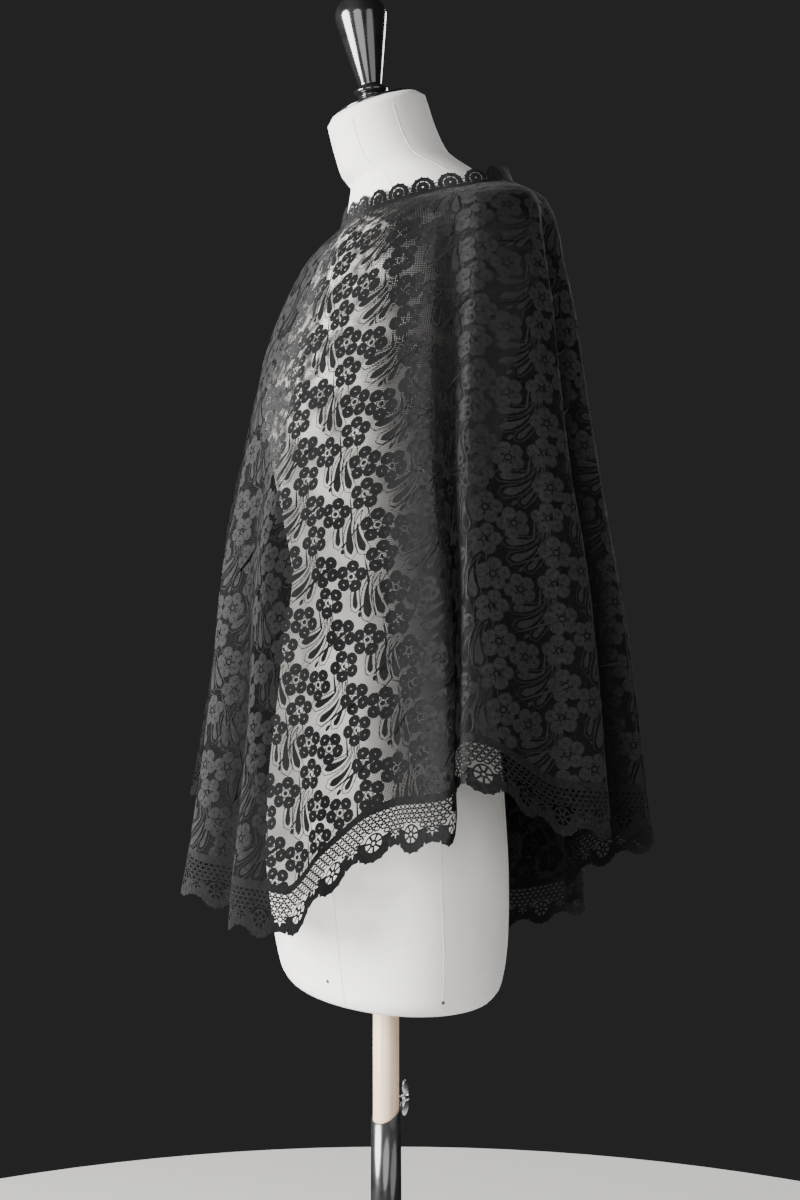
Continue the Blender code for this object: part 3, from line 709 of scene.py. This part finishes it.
def flower(bm, centre, radius, turn):
    petal, eye = figures["petal"], figures["eye"]
    for i in range(petal["count"]):
        a = math.radians(turn) + 2 * math.pi * i / petal["count"]
        spot = np.array(centre) + towards(a) * radius * petal["place"]
        size = (radius * petal["size"][1], radius * petal["size"][0])
        ring(bm, spot, size, a, petal["segments"], radius * petal["rim"])
    ring(bm, centre, (radius * eye["outer"],) * 2, 0, eye["segments"], radius * eye["rim"])
    ring(bm, centre, (radius * eye["core"],) * 2, 0, 6, 0)


def leaf(bm, start, bend, end, width, first):
    # a comma: it swells slowly from its stalk and ends round
    stalk, growth, power, roundFrom, roundLength = figures["swell"]
    steps = np.linspace(0, 1, figures["leafSteps"])
    past = np.maximum(steps - roundFrom, 0) / roundLength
    swell = np.minimum(1.0, stalk + growth * steps ** power) * np.sqrt(np.clip(1 - past ** 2, 0, 1))
    ribbon(bm, bezier(start, bend, end, first + (1 - first) * steps), width * swell)
    # a fine thread outlines it and runs round its end
    run = np.linspace(0, 1, figures["threadSteps"])
    middle = bezier(start, bend, end, run)
    along, side = sidesOf(middle)
    reach = width / 2 + figures["threadOff"]
    off = (0.25 + reach * np.sin(np.pi / 2 * np.clip(run * 1.15, 0, 1) ** 1.3))[:, None]
    around = np.concatenate((middle - side * off, [end + along[-1] * reach * 0.9],
                             (middle + side * off)[::-1]))
    ribbon(bm, around, np.full(len(around), figures["threadWidth"]))


def figureRepeat():
    # two clusters side by side with different leaves
    bm = bmesh.new()
    tilt = Matrix.Rotation(math.radians(figures["tilt"]), 3, "Z")
    for column, kind in enumerate(figures["leaves"]):
        before = len(bm.verts)
        for centre, radius, turn in figures["flowers"]:
            flower(bm, centre, radius, turn + figures["turned"] * column)
        fan = len(bm.verts)
        for row in figures["leaves"][kind]:
            leaf(bm, *row)
        spot, across, along, turn = figures["drops"][kind]
        ring(bm, spot, (along, across), math.pi / 2 + turn, 8, 0)
        bm.verts.ensure_lookup_table()
        bmesh.ops.translate(bm, vec=(*figures["fanFrom"], 0), verts=bm.verts[fan:])
        bm.verts.ensure_lookup_table()
        bmesh.ops.rotate(bm, verts=bm.verts[before:], matrix=tilt)
        shift = (figures["pitch"][0] * column, figures["columnRise"] * column, 0)
        bmesh.ops.translate(bm, vec=shift, verts=bm.verts[before:])
    bmesh.ops.scale(bm, vec=(*figures["unit"], 0.001), verts=bm.verts[:])
    return meshOf("figure_repeat", bm)


def arrayed(mesh, start, steps, counts):
    # the mesh repeated in rows and columns, realised as one mesh
    holder = added("arraying", mesh)
    for step, count in zip(steps, counts):
        repeat = holder.modifiers.new("repeat", "ARRAY")
        repeat.use_relative_offset = False
        repeat.use_constant_offset = True
        repeat.constant_offset_displace = step
        repeat.count = count
    bpy.context.view_layer.update()
    evaluated = holder.evaluated_get(bpy.context.evaluated_depsgraph_get())
    whole = bpy.data.meshes.new_from_object(evaluated)
    bpy.data.objects.remove(holder)
    whole.transform(Matrix.Translation(start))
    return whole


repeatMesh = figureRepeat()
print("figure repeat:", len(repeatMesh.polygons), "faces")


def lacePanel(side):
    chart, upright = charts[side], uprightAt[side]
    lowest = chart["falls"][-1].max()
    across, fall = np.meshgrid(np.linspace(0, 1, 60), np.linspace(0, lowest, 20))
    x, y = flatPlace(chart, upright, across.ravel(), fall.ravel())
    width, height = (v * unit for v, unit in zip(figures["pitch"], figures["unit"]))
    # each pair of columns hangs lower than the one before by what is left of a whole repeat
    sink = height - 2 * figures["columnRise"] * figures["unit"][1]
    first, last = math.floor(x.min() / (2 * width)) - 1, math.ceil(x.max() / (2 * width)) + 1
    top = math.ceil((y.max() + last * sink) / height) + 1
    # whole repeats from the seam at x = 0, so that both panels meet in the same pattern
    start = (first * 2 * width, top * height - first * sink, 0)
    rows = math.ceil((start[1] - y.min()) / height) + 2
    mesh = arrayed(repeatMesh, start, ((2 * width, -sink, 0), (0, -height, 0)),
                   (last - first + 1, rows))
    flat = coordinates(mesh)
    radius = np.hypot(flat[:, 0], chart["neckRadius"] - flat[:, 1])
    turn = np.arctan2(flat[:, 0], chart["neckRadius"] - flat[:, 1])
    across = turn / chart["sector"] + upright
    fall = radius - chart["neckRadius"]
    near = (across > -0.02) & (across < 1.02) & (fall > -0.03) & (fall < lowest + 0.03)
    points, reach, tones = np.zeros_like(flat), np.zeros(len(flat)), np.zeros(len(flat))
    points[near], reach[near], tones[near] = onCloth(
        chart, across[near], fall[near], figures["lift"])
    inside = near & (across >= 0) & (across <= 1) & (fall >= 0.0005) & (fall <= reach)
    points[~near] = (0, 0, 9)
    giveUv(mesh, flat[:, 0], flat[:, 1])
    # painted sheen and painted fold shade for the yarn's colour
    giveShare(mesh, "paintedLight", tones)
    moveTo(mesh, points)
    bm = bmesh.new()
    bm.from_mesh(mesh)
    bm.verts.ensure_lookup_table()
    out = [face for face in bm.faces if not any(inside[v.index] for v in face.verts)
           or not all(near[v.index] for v in face.verts)]
    bmesh.ops.delete(bm, geom=out, context="FACES")
    bmesh.ops.delete(bm, geom=[v for v in bm.verts if not v.link_faces], context="VERTS")
    made = meshOf("figures_" + side, bm)
    made.uv_layers.active = made.uv_layers[0]
    sampled = [made.polygons[i] for i in range(0, len(made.polygons), 50)]
    if sum(face.normal.xy.dot(face.center.xy) for face in sampled) < 0:
        made.flip_normals()
    print("figures", side, trianglesOf(made), "triangles")
    panel = finished("figures_" + side, made, finishes["motifs"], "bust")
    made.shade_flat()
    return panel


lacePanels = {side: lacePanel(side) for side in charts}


# the scalloped hem edging, drawn flat in millimetres
hemTrim = {
    "scallops": {"front": 22, "back": 26},
    "pitch": 40.0,
    "overlap": 0.0015,              # how far the heading laps over the cape
    "heading": 7.0,
    "cell": (5.715, 3.9),           # width and row spacing of the net's cells
    "cells": (7, 7),                # cells across one scallop, and rows
    "cellStart": 0.42,              # share of a row between the heading and the first cells
    "bar": 1.2,
    # how far cells keep from the wheel; past its middle only those near the scallop's side stay
    "cellsOff": {"wheel": 1.2, "middle": 1.0, "side": 1.5, "lowest": 35.0},
    "wheel": {"centre": (20.0, 31.8), "outer": 8.6, "rim": 1.5, "hub": 3.2, "hubRim": 1.7},
    "spokes": {"count": 7, "in": 0.8, "out": 0.4, "widths": (1.5, 2.0)},
    "band": {"radius": 11.7, "width": 7.2, "from": -22, "to": 202, "steps": 22},
    "ties": {"in": 0.4, "out": 0.3, "widths": (1.1, 1.1)},
    "picots": {"count": 9, "radius": 14.2, "size": 2.1, "from": -12, "to": 192, "segments": 7},
    "between": [(0.0, 34.5), (7.0, 36.5), 8.5],     # the band between two scallops, and its width
    "flutter": 0.0016,
    "lift": 0.0006,
    "depth": 0.046,
}


def heading(bm, trim, points):
    line = [(x, trim["heading"] / 2) for x in np.linspace(0, trim["pitch"], points)]
    ribbon(bm, line, [trim["heading"]] * points)


def spokes(bm, centre, angles, inner, outer, widths):
    for angle in angles:
        ribbon(bm, [centre + towards(angle) * r for r in (inner, outer)], widths)


def arcBand(bm, centre, band):
    turns = np.radians(np.linspace(band["from"], band["to"], band["steps"] + 1))
    arc = centre + band["radius"] * np.stack((np.cos(turns), np.sin(turns)), 1)
    ribbon(bm, arc, [band["width"]] * len(arc))
    return turns


def picotRow(bm, centre, picots):
    for angle in np.radians(np.linspace(picots["from"], picots["to"], picots["count"])):
        spot = centre + picots["radius"] * towards(angle)
        ring(bm, spot, (picots["size"],) * 2, 0, picots["segments"], 0)


def inMetres(name, bm):
    bmesh.ops.scale(bm, vec=(0.001, 0.001, 0.001), verts=bm.verts[:])
    return meshOf(name, bm)


def hemCells(bm, centre):
    # the six-sided cells of the net between the heading and the wheel
    width, rise = hemTrim["cell"]
    cellsAcross, rows = hemTrim["cells"]
    off = hemTrim["cellsOff"]
    size = (rise / 1.5, width / 2 / math.cos(math.pi / 6))
    for row in range(rows):
        # a full row ends where the next scallop's starts, so its last cell is left to that one
        for k in range(cellsAcross):
            spot = np.array([(k + (0.0 if row % 2 else 0.5)) * width,
                             hemTrim["heading"] + rise * (row + hemTrim["cellStart"])])
            onEdge = min(spot[0], hemTrim["pitch"] - spot[0])
            inWheel = np.linalg.norm(spot - centre) < hemTrim["wheel"]["outer"] + off["wheel"]
            inBand = spot[1] > centre[1] - off["middle"] and onEdge > off["side"]
            if inWheel or inBand or spot[1] > off["lowest"]:
                continue
            ring(bm, spot, size, math.pi / 2, 6, 0)
            face = bm.faces[:][-1]
            face.normal_update()
            bmesh.ops.inset_individual(bm, faces=[face], thickness=hemTrim["bar"],
                                       use_even_offset=True)
            bmesh.ops.delete(bm, geom=[face], context="FACES")


def hemUnit():
    bm = bmesh.new()
    wheel, band = hemTrim["wheel"], hemTrim["band"]
    centre = np.array(wheel["centre"])
    heading(bm, hemTrim, 9)
    hemCells(bm, centre)
    ring(bm, centre, (wheel["outer"],) * 2, 0, 24, wheel["rim"])
    ring(bm, centre, (wheel["hub"],) * 2, 0, 10, wheel["hubRim"])
    rays = hemTrim["spokes"]
    angles = [math.pi / 2 + 2 * math.pi * i / rays["count"] for i in range(rays["count"])]
    spokes(bm, centre, angles, wheel["hub"] - rays["in"],
           wheel["outer"] - wheel["rim"] + rays["out"], rays["widths"])
    *edge, breadth = hemTrim["between"]
    for line in (edge, [(hemTrim["pitch"] - x, y) for x, y in reversed(edge)]):
        ribbon(bm, line, [breadth] * 2)
    turns = arcBand(bm, centre, band)
    ties = hemTrim["ties"]
    spokes(bm, centre, turns[1:-1:2], wheel["outer"] - ties["in"],
           band["radius"] - band["width"] / 2 + ties["out"], ties["widths"])
    picotRow(bm, centre, hemTrim["picots"])
    return inMetres("hem_unit", bm)


def hemEdging(side):
    chart = charts[side]
    count = hemTrim["scallops"][side]
    pitch = hemTrim["pitch"] / 1000
    mesh = arrayed(hemUnit(), (0, 0, 0), ((pitch, 0, 0),), (count,))
    flat = coordinates(mesh)
    k, t = placeAmong(flat[:, 0] / (pitch * count), len(chart["hemDirections"]) - 1)
    edge, fallen = blendOf(chart["points"][-1], k, t), blendOf(chart["hemDirections"], k, t)
    normals = blendOf(chart["normals"][-1], k, t)
    below = flat[:, 1] - hemTrim["overlap"]
    grown = (np.maximum(below, 0) / hemTrim["depth"]) ** 1.5
    # one wave for every two scallops
    wave = np.sin(flat[:, 0] / pitch * np.pi + 0.7) * hemTrim["flutter"] * grown
    points = edge + fallen * below[:, None] + normals * (wave + hemTrim["lift"])[:, None]
    giveUv(mesh, flat[:, 0], flat[:, 1])
    moveTo(mesh, points)
    outwards(mesh, normals)
    # painted sheen and painted fold shade for the yarn's colour
    giveShare(mesh, "paintedLight", blendOf(chart["tones"][-1], k, t))
    print("hem edging", side, trianglesOf(mesh), "triangles")
    return finished("hem_edging_" + side, mesh, finishes["trim"], "bust",
                    ("hem_lace_" + side,))


hemEdgings = {side: hemEdging(side) for side in charts}


# the neck edging, drawn the same way
neckTrim = {
    "scallops": 24,
    "pitch": 25.0,
    "height": 20.0,
    "tips": (0.1030, 0.0360, 0.1140),       # half width, front reach, back reach at the tips
    "heading": 5.0,
    "centre": (12.5, 8.6),
    "band": {"radius": 8.9, "width": 4.6, "from": -24, "to": 204, "steps": 14},
    "wheel": {"radius": 6.2, "rim": 5.1},
    "spokes": {"count": 8, "in": 0.5, "out": 1.2, "widths": (1.2, 1.2)},
    "corner": {"height": 8.0, "size": (3.6, 3.4), "rim": 1.2},     # the ring between two scallops
    "picots": {"count": 7, "radius": 11.0, "size": 1.2, "from": -8, "to": 188, "segments": 6},
    "sunk": 0.06,                   # share of the height that lies below the neckline
    "lift": 0.0005,
}


def neckUnit():
    bm = bmesh.new()
    band, wheel, rays, corner = (neckTrim[k] for k in ("band", "wheel", "spokes", "corner"))
    centre = np.array(neckTrim["centre"])
    heading(bm, neckTrim, 7)
    arcBand(bm, centre, band)
    ring(bm, centre, (wheel["radius"],) * 2, 0, 12, wheel["rim"])
    angles = [2 * math.pi * (i + 0.5) / rays["count"] for i in range(rays["count"])]
    spokes(bm, centre, angles, wheel["radius"] - rays["in"], band["radius"] - rays["out"],
           rays["widths"])
    for x in (0.0, neckTrim["pitch"]):
        ring(bm, (x, corner["height"]), corner["size"], 0, 6, corner["rim"])
    picotRow(bm, centre, neckTrim["picots"])
    return inMetres("neck_unit", bm)


def neckEdging():
    pitch, count = neckTrim["pitch"] / 1000, neckTrim["scallops"]
    mesh = arrayed(neckUnit(), (0, 0, 0), ((pitch, 0, 0),), (count,))
    flat = coordinates(mesh)
    fine = np.linspace(0, 360, 1441)
    run = runOf(capePoints(fine, 0.0))
    angles = np.interp((flat[:, 0] / (pitch * count)) % 1.0 * run[-1], run, fine)
    rise = (flat[:, 1] / (neckTrim["height"] / 1000) - neckTrim["sunk"])[:, None]
    width, front, back = neckTrim["tips"]
    turn = np.radians(angles)
    neck = np.array(cape["neck"])
    tips = np.stack((width * np.sin(turn), (back - front) / 2 - (back + front) / 2 * np.cos(turn),
                     roundCurve(neck[:, 0], neck[:, 2], angles)), 1)
    low = capePoints(angles, 0.0)
    outward = np.stack((np.sin(turn), -np.cos(turn), np.full(len(turn), 0.5)), 1) * neckTrim["lift"]
    moveTo(mesh, low + (tips - low) * rise + outward)
    giveUv(mesh, flat[:, 0], flat[:, 1])
    outwards(mesh, outward)
    # painted sheen and painted fold shade for the yarn's colour
    giveShare(mesh, "paintedLight", paintedLightOf(angles, 0.0))
    print("neck edging", trianglesOf(mesh), "triangles")
    return finished("neck_edging", mesh, finishes["trim"], "bust", ("neck_lace",))


neckEdge = neckEdging()


form = {
    # height, centre y, half width, half depth, lean in degrees
    "rings": [
        (0.6340, 0.0020, 0.1400, 0.0800, 0.0), (0.6370, 0.0020, 0.1550, 0.0920, 0.0),
        (0.6500, 0.0020, 0.1660, 0.0990, 0.0), (0.6900, 0.0010, 0.1725, 0.1055, 0.0),
        (0.7500, -0.0020, 0.1750, 0.1090, 0.0), (0.8200, -0.0030, 0.1720, 0.1060, 0.0),
        (0.9000, -0.0030, 0.1550, 0.0980, 0.0), (0.9600, -0.0050, 0.1340, 0.0910, 0.0),
        (1.0200, -0.0080, 0.1200, 0.0795, 0.0), (1.0800, -0.0070, 0.1270, 0.0900, 0.0),
        (1.1300, -0.0040, 0.1390, 0.1030, 0.0), (1.1900, 0.0000, 0.1500, 0.1145, 0.0),
        (1.2400, 0.0125, 0.1570, 0.1095, 0.0), (1.2900, 0.0265, 0.1660, 0.1005, 0.0),
        (1.3200, 0.0340, 0.1725, 0.0960, 0.0), (1.3380, 0.0400, 0.1700, 0.0930, 0.0),
        (1.3500, 0.0445, 0.1530, 0.0885, 0.0), (1.3600, 0.0480, 0.1250, 0.0850, 0.0),
        (1.3690, 0.0480, 0.1060, 0.0825, 0.0), (1.3800, 0.0460, 0.0950, 0.0795, 0.0),
        (1.3920, 0.0405, 0.0810, 0.0730, 1.0), (1.4040, 0.0270, 0.0680, 0.0600, 5.0),
        (1.4180, 0.0090, 0.0560, 0.0520, 12.0), (1.4400, -0.0010, 0.0505, 0.0500, 17.0),
        (1.4670, -0.0095, 0.0490, 0.0490, 18.5), (1.4730, -0.0115, 0.0430, 0.0430, 18.5),
    ],
    "around": 112,
    "rows": 150,
    "seams": [0, 42, 90, 138, 180, 222, 270, 318],      # angles of the cover's seams
    "seamRadius": 0.0004,
    "seamSpan": (0.638, 1.462, 130),                    # first and last height, and points
    "pinRadius": 0.0016,
    "pins": [(90, 0.6515), (34, 0.6600)],               # angle and height of the tacks
}


def formPoints(angles, height):
    rings = np.array(form["rings"])
    centre, width, depth, lean = (
        smoothCurve(rings[:, 0], rings[:, k], height) for k in range(1, 5))
    turn, tilt = np.radians(angles), np.radians(lean)
    off = -depth * np.cos(turn)
    return np.stack((width * np.sin(turn), centre + off * np.cos(tilt),
                     height + off * np.sin(tilt)), -1)


def tube(segments, rows, pointAt):
    # a closed tube; pointAt gives each vertex its place from its corner and its row
    bm = bmesh.new()
    bmesh.ops.create_cone(bm, cap_ends=True, segments=segments, radius1=1, radius2=1, depth=1)
    upright = [e for e in bm.edges if abs(e.verts[0].co.z - e.verts[1].co.z) > 0.5]
    bmesh.ops.subdivide_edges(bm, edges=upright, cuts=rows - 2)
    for vertex in bm.verts:
        vertex.co = pointAt(vertex.co.copy(), round((vertex.co.z + 0.5) * (rows - 1)))
    return bm


def linenForm():
    places = np.array(form["rings"])[:, 0]
    heights = np.unique(np.concatenate((places, np.linspace(places[0], places[-1], form["rows"]))))
    bm = tube(form["around"], len(heights), lambda co, row: Vector(
        formPoints(math.degrees(math.atan2(co.x, -co.y)), heights[row])))
    bmesh.ops.recalc_face_normals(bm, faces=bm.faces[:])
    return finished("linen_form", meshOf("linen_form", bm), finishes["linen"], "bust",
                    ("form",))


def formSeams():
    # a fine raised thread along each seam of the cover
    heights = np.linspace(*form["seamSpan"])
    seams = bmesh.new()
    for angle in form["seams"]:
        line = formPoints(np.full(len(heights), float(angle)), heights)
        bm = tube(5, len(heights), lambda co, row: (
            Vector(line[row]) + Vector((co.x, co.y, 0)) * form["seamRadius"]))
        seams.from_mesh(meshOf("one_seam", bm))
    mesh = meshOf("form_seams", seams)
    flat = coordinates(mesh)
    giveUv(mesh, flat[:, 0] + flat[:, 1], flat[:, 2])
    return finished("form_seams", mesh, finishes["seamThread"], "bust")


def formPins():
    bm = bmesh.new()
    for angle, height in form["pins"]:
        place = Matrix.Translation(Vector(formPoints(float(angle), height)))
        bmesh.ops.create_uvsphere(bm, u_segments=12, v_segments=8, radius=form["pinRadius"],
                                  matrix=place)
    return finished("form_pins", meshOf("form_pins", bm), finishes["iron"], "bust")


linenForm()
formSeams()
formPins()
print("form made")


stand = {
    "neckLean": 18.5, "plateRadius": 0.0370, "plateHeight": 0.0035,
    "knobLean": 8.0, "knobForward": 0.0010,
    "gap": 0.0003, "poleRadius": 0.0125, "poleBottom": 0.260, "formBottom": 0.634,
    "bore": 0.0128, "boreBottom": 0.110, "columnTop": 0.530, "mouth": 0.508, "mouthSlope": 30.0,
    "screwTurn": 30.0, "screwHeight": 0.5165,
    "rounding": {"plate": 0.0006, "pole": 0.0008, "boss": 0.0005, "foot": 0.0004},
    # radius, distance from the pole's axis
    "boss": [(0.0027, 0.0180), (0.0052, 0.0180), (0.0052, 0.0140)],
    "screwTip": [(0.0, 0.0129), (0.0017, 0.0129)],
    "thread": {"turns": 9, "from": 0.0134, "pitch": 0.0009, "radii": (0.0017, 0.0021)},
    "screwHead": [(0.0021, 0.0216), (0.0034, 0.0217), (0.0038, 0.0224), (0.0036, 0.0290),
                  (0.0028, 0.0300), (0.0, 0.0302)],
    "wing": {"out": 0.0272, "rise": 0.0093, "tilt": 0.20, "size": (0.0013, 0.0082, 0.0042)},
    # radius, height above the plate
    "knob": [
        (0.0, 0.1010), (0.007, 0.1005), (0.0140, 0.0985), (0.0190, 0.0952), (0.0225, 0.0910),
        (0.0245, 0.0860), (0.0250, 0.0800), (0.0112, 0.0170), (0.0108, 0.0155), (0.0118, 0.0142),
        (0.0150, 0.0128), (0.0162, 0.0115), (0.0165, 0.0105), (0.0162, 0.0092), (0.0148, 0.0076),
        (0.0124, 0.0064), (0.0120, 0.0052), (0.0135, 0.0026), (0.0150, 0.0010),
        (0.0150, -0.0040), (0.0, -0.0040),
    ],
    "column": [
        (0.0142, 0.530), (0.0150, 0.400), (0.0165, 0.260), (0.0190, 0.140), (0.0212, 0.100),
        (0.0240, 0.070), (0.0290, 0.048), (0.0360, 0.034), (0.0400, 0.026), (0.0420, 0.0223),
    ],
    "foot": [
        (0.0, 0.022), (0.118, 0.022), (0.124, 0.0216), (0.178, 0.0165), (0.185, 0.0148),
        (0.1886, 0.0120), (0.190, 0.0090), (0.190, 0.0020), (0.1894, 0.0006), (0.188, 0.0),
        (0.0, 0.0),
    ],
}


def bevelled(outline, reach):
    # rounds the corners of an outline by short steps
    rounded = [outline[0]]
    for before, corner, after in zip(outline, outline[1:], outline[2:]):
        corner = np.array(corner, float)
        for other in (before, after):
            way = np.array(other, float) - corner
            length = max(np.linalg.norm(way), 1e-9)
            rounded.append(tuple(corner + way * min(0.45, reach / length)))
    return rounded + [outline[-1]]


def sliced(made, place, outward, close):
    # takes away what lies beyond a plane; close fills the cut from its edges
    bm = bmesh.new()
    bm.from_mesh(made.data)
    bmesh.ops.bisect_plane(bm, geom=bm.verts[:] + bm.edges[:] + bm.faces[:], plane_co=place,
                           plane_no=outward, clear_outer=True)
    close(bm, [e for e in bm.edges if e.is_boundary])
    bmesh.ops.recalc_face_normals(bm, faces=bm.faces[:])
    bm.to_mesh(made.data)
    bm.free()
    made.data.shade_smooth()


def neckPlace(forward=0.0, above=0.0):
    tilt = Matrix.Rotation(math.radians(stand["neckLean"]), 3, "X")
    top = Vector((0, form["rings"][-1][1], form["rings"][-1][0]))
    return top + tilt @ Vector((0, -forward, above))


def neckPlate():
    lean = Matrix.Rotation(math.radians(stand["neckLean"]), 4, "X")
    radius, height = stand["plateRadius"], stand["plateHeight"]
    outline = bevelled([(0.0, height), (radius, height), (radius, 0.0), (0.0, 0.0)],
                       stand["rounding"]["plate"])
    spun("black_plate", outline, 72, finishes["lacquer"], "bust", ("neck_plate",),
         Matrix.Translation(neckPlace(0, stand["gap"])) @ lean)


def knob():
    seat = neckPlace(stand["knobForward"], stand["plateHeight"] + 2 * stand["gap"])
    place = Matrix.Translation(seat) @ Matrix.Rotation(math.radians(stand["knobLean"]), 4, "X")
    made = spun("turned_knob", stand["knob"], 72, finishes["lacquer"], "bust",
                ("neck_knob",), place)
    up = Matrix.Rotation(math.radians(stand["neckLean"]), 3, "X") @ Vector((0, 0, 1))
    sliced(made, seat, -up, lambda bm, rim: bmesh.ops.contextual_create(bm, geom=rim))


def pole():
    radius, bottom = stand["poleRadius"], stand["poleBottom"]
    top = stand["formBottom"] - stand["gap"]
    outline = bevelled([(0.0, top), (radius, top), (radius, bottom), (0.0, bottom)],
                       stand["rounding"]["pole"])
    spun("beech_pole", outline, 64, finishes["beech"], "pole", ("pole",))


def column():
    bore, bottom = stand["bore"], stand["boreBottom"]
    outline = [(0.0, bottom), (bore, bottom), (bore, stand["columnTop"]), *stand["column"],
               (0.0, stand["column"][-1][1])]
    made = spun("enamel_column", outline, 64, finishes["enamel"], "stand",
                ("column",))
    slope = (Matrix.Rotation(math.radians(stand["screwTurn"]), 3, "Z")
             @ Matrix.Rotation(math.radians(stand["mouthSlope"]), 3, "X"))
    sliced(made, (0, 0, stand["mouth"]), slope @ Vector((0, 0, 1)),
           lambda bm, rims: bmesh.ops.bridge_loops(bm, edges=rims))


def alongScrew(distance=0.0, rise=0.0):
    # a place on the wing screw's axis, with local Z pointing outwards
    turn = math.radians(stand["screwTurn"])
    out = Vector((-math.sin(turn), math.cos(turn), 0))
    place = out * distance + Vector((0, 0, stand["screwHeight"] + rise))
    return (Matrix.Translation(place) @ Matrix.Rotation(turn, 4, "Z")
            @ Matrix.Rotation(-math.pi / 2, 4, "X"))


def boss():
    outline = bevelled(stand["boss"], stand["rounding"]["boss"])
    spun("screw_boss", outline, 32, finishes["enamel"], "stand", (), alongScrew())


def wingScrew():
    screw, thread, wing = list(stand["screwTip"]), stand["thread"], stand["wing"]
    for i in range(thread["turns"]):        # the thread, as close rings
        z = thread["from"] + thread["pitch"] * i
        screw += [(thread["radii"][0], z), (thread["radii"][1], z + thread["pitch"] / 2)]
    screw += stand["screwHead"]
    spun("wing_screw_body", screw[::-1], 32, finishes["steel"], "wing_screw",
         ("wing_screw",), alongScrew())
    bm = bmesh.new()
    for side in (1, -1):
        ball = bmesh.ops.create_uvsphere(bm, u_segments=24, v_segments=16, radius=1.0)["verts"]
        shape = (alongScrew(wing["out"], side * wing["rise"])
                 @ Matrix.Rotation(side * wing["tilt"], 4, "X")
                 @ Matrix.Diagonal((*wing["size"], 1)))
        bmesh.ops.transform(bm, matrix=shape, verts=ball)
    finished("wing_screw_wings", meshOf("wing_screw_wings", bm), finishes["steel"], "wing_screw")


neckPlate()
knob()
pole()
column()
boss()
wingScrew()
spun("round_foot", bevelled(stand["foot"], stand["rounding"]["foot"]), 128, finishes["enamel"],
     "stand", ("foot",))
print("stand made")


# what the cloth was cut from
for side, panel in nets.items():
    area = sum(face.area for face in panel.data.polygons)
    print("net", side, "area %.4f" % area)


studio = {
    "floorRadius": 1.45,
    "floorColour": (0.62, 0.61, 0.60),
    "backColour": (0.022, 0.022, 0.023),
    "backStrength": 1.0,
    # name, place, what it looks at, size, power, colour
    "lights": [
        ("key", (0.10, -2.5, 1.50), (0.0, 0.0, 1.05), 1.6, 345.0, (1.0, 0.99, 0.97)),
        ("front", (2.10, -1.3, 1.40), (0.0, 0.0, 1.00), 1.6, 36.0, (1.0, 0.99, 0.98)),
        ("fill", (2.4, 1.0, 1.3), (0.0, 0.0, 1.00), 2.0, 26.0, (0.97, 0.98, 1.0)),
        ("far", (-1.8, 1.9, 1.9), (0.0, 0.0, 1.10), 1.5, 40.0, (1.0, 1.0, 1.0)),
    ],
    "cameraTurn": 73.0, "cameraHeight": 1.00, "cameraDistance": 1.60, "sideways": 0.0134,
    "lens": 50.0, "sensor": 36.0,
}


def studioSet():
    bm = bmesh.new()
    bmesh.ops.create_circle(bm, cap_ends=True, segments=128, radius=studio["floorRadius"],
                            matrix=Matrix.Translation((0, 0, -0.0005)))
    floor = added("floor", meshOf("floor", bm))
    floor.data.materials.append(plainMaterial("pale floor", studio["floorColour"], 0.9)[0])
    world = bpy.data.worlds.new("studio")
    bpy.context.scene.world = world
    world.use_nodes = True
    back = world.node_tree.nodes["Background"]
    back.inputs["Color"].default_value = (*studio["backColour"], 1)
    back.inputs["Strength"].default_value = studio["backStrength"]
    for name, place, target, size, power, colour in studio["lights"]:
        light = bpy.data.lights.new(name, "AREA")
        light.shape, light.size, light.energy, light.color = "DISK", size, power, colour
        holder = added(name, light)
        holder.location = place
        facing = Vector(target) - Vector(place)
        holder.rotation_euler = facing.to_track_quat("-Z", "Y").to_euler()


def photoCamera():
    camera = bpy.data.cameras.new("camera")
    camera.lens, camera.sensor_fit = studio["lens"], "VERTICAL"
    camera.sensor_height = camera.sensor_width = studio["sensor"]
    holder = added("camera", camera)
    turn = math.radians(studio["cameraTurn"])
    sideways = Vector((math.cos(turn), math.sin(turn), 0)) * studio["sideways"]
    target = sideways + Vector((0, 0, studio["cameraHeight"]))
    away = Vector((math.sin(turn), -math.cos(turn), 0))
    holder.location = target + away * studio["cameraDistance"]
    holder.rotation_euler = (math.pi / 2, 0, turn)
    bpy.context.scene.camera = holder


studioSet()
photoCamera()
for leftover in [m for m in bpy.data.meshes if not m.users]:
    bpy.data.meshes.remove(leftover)
print("scene made")
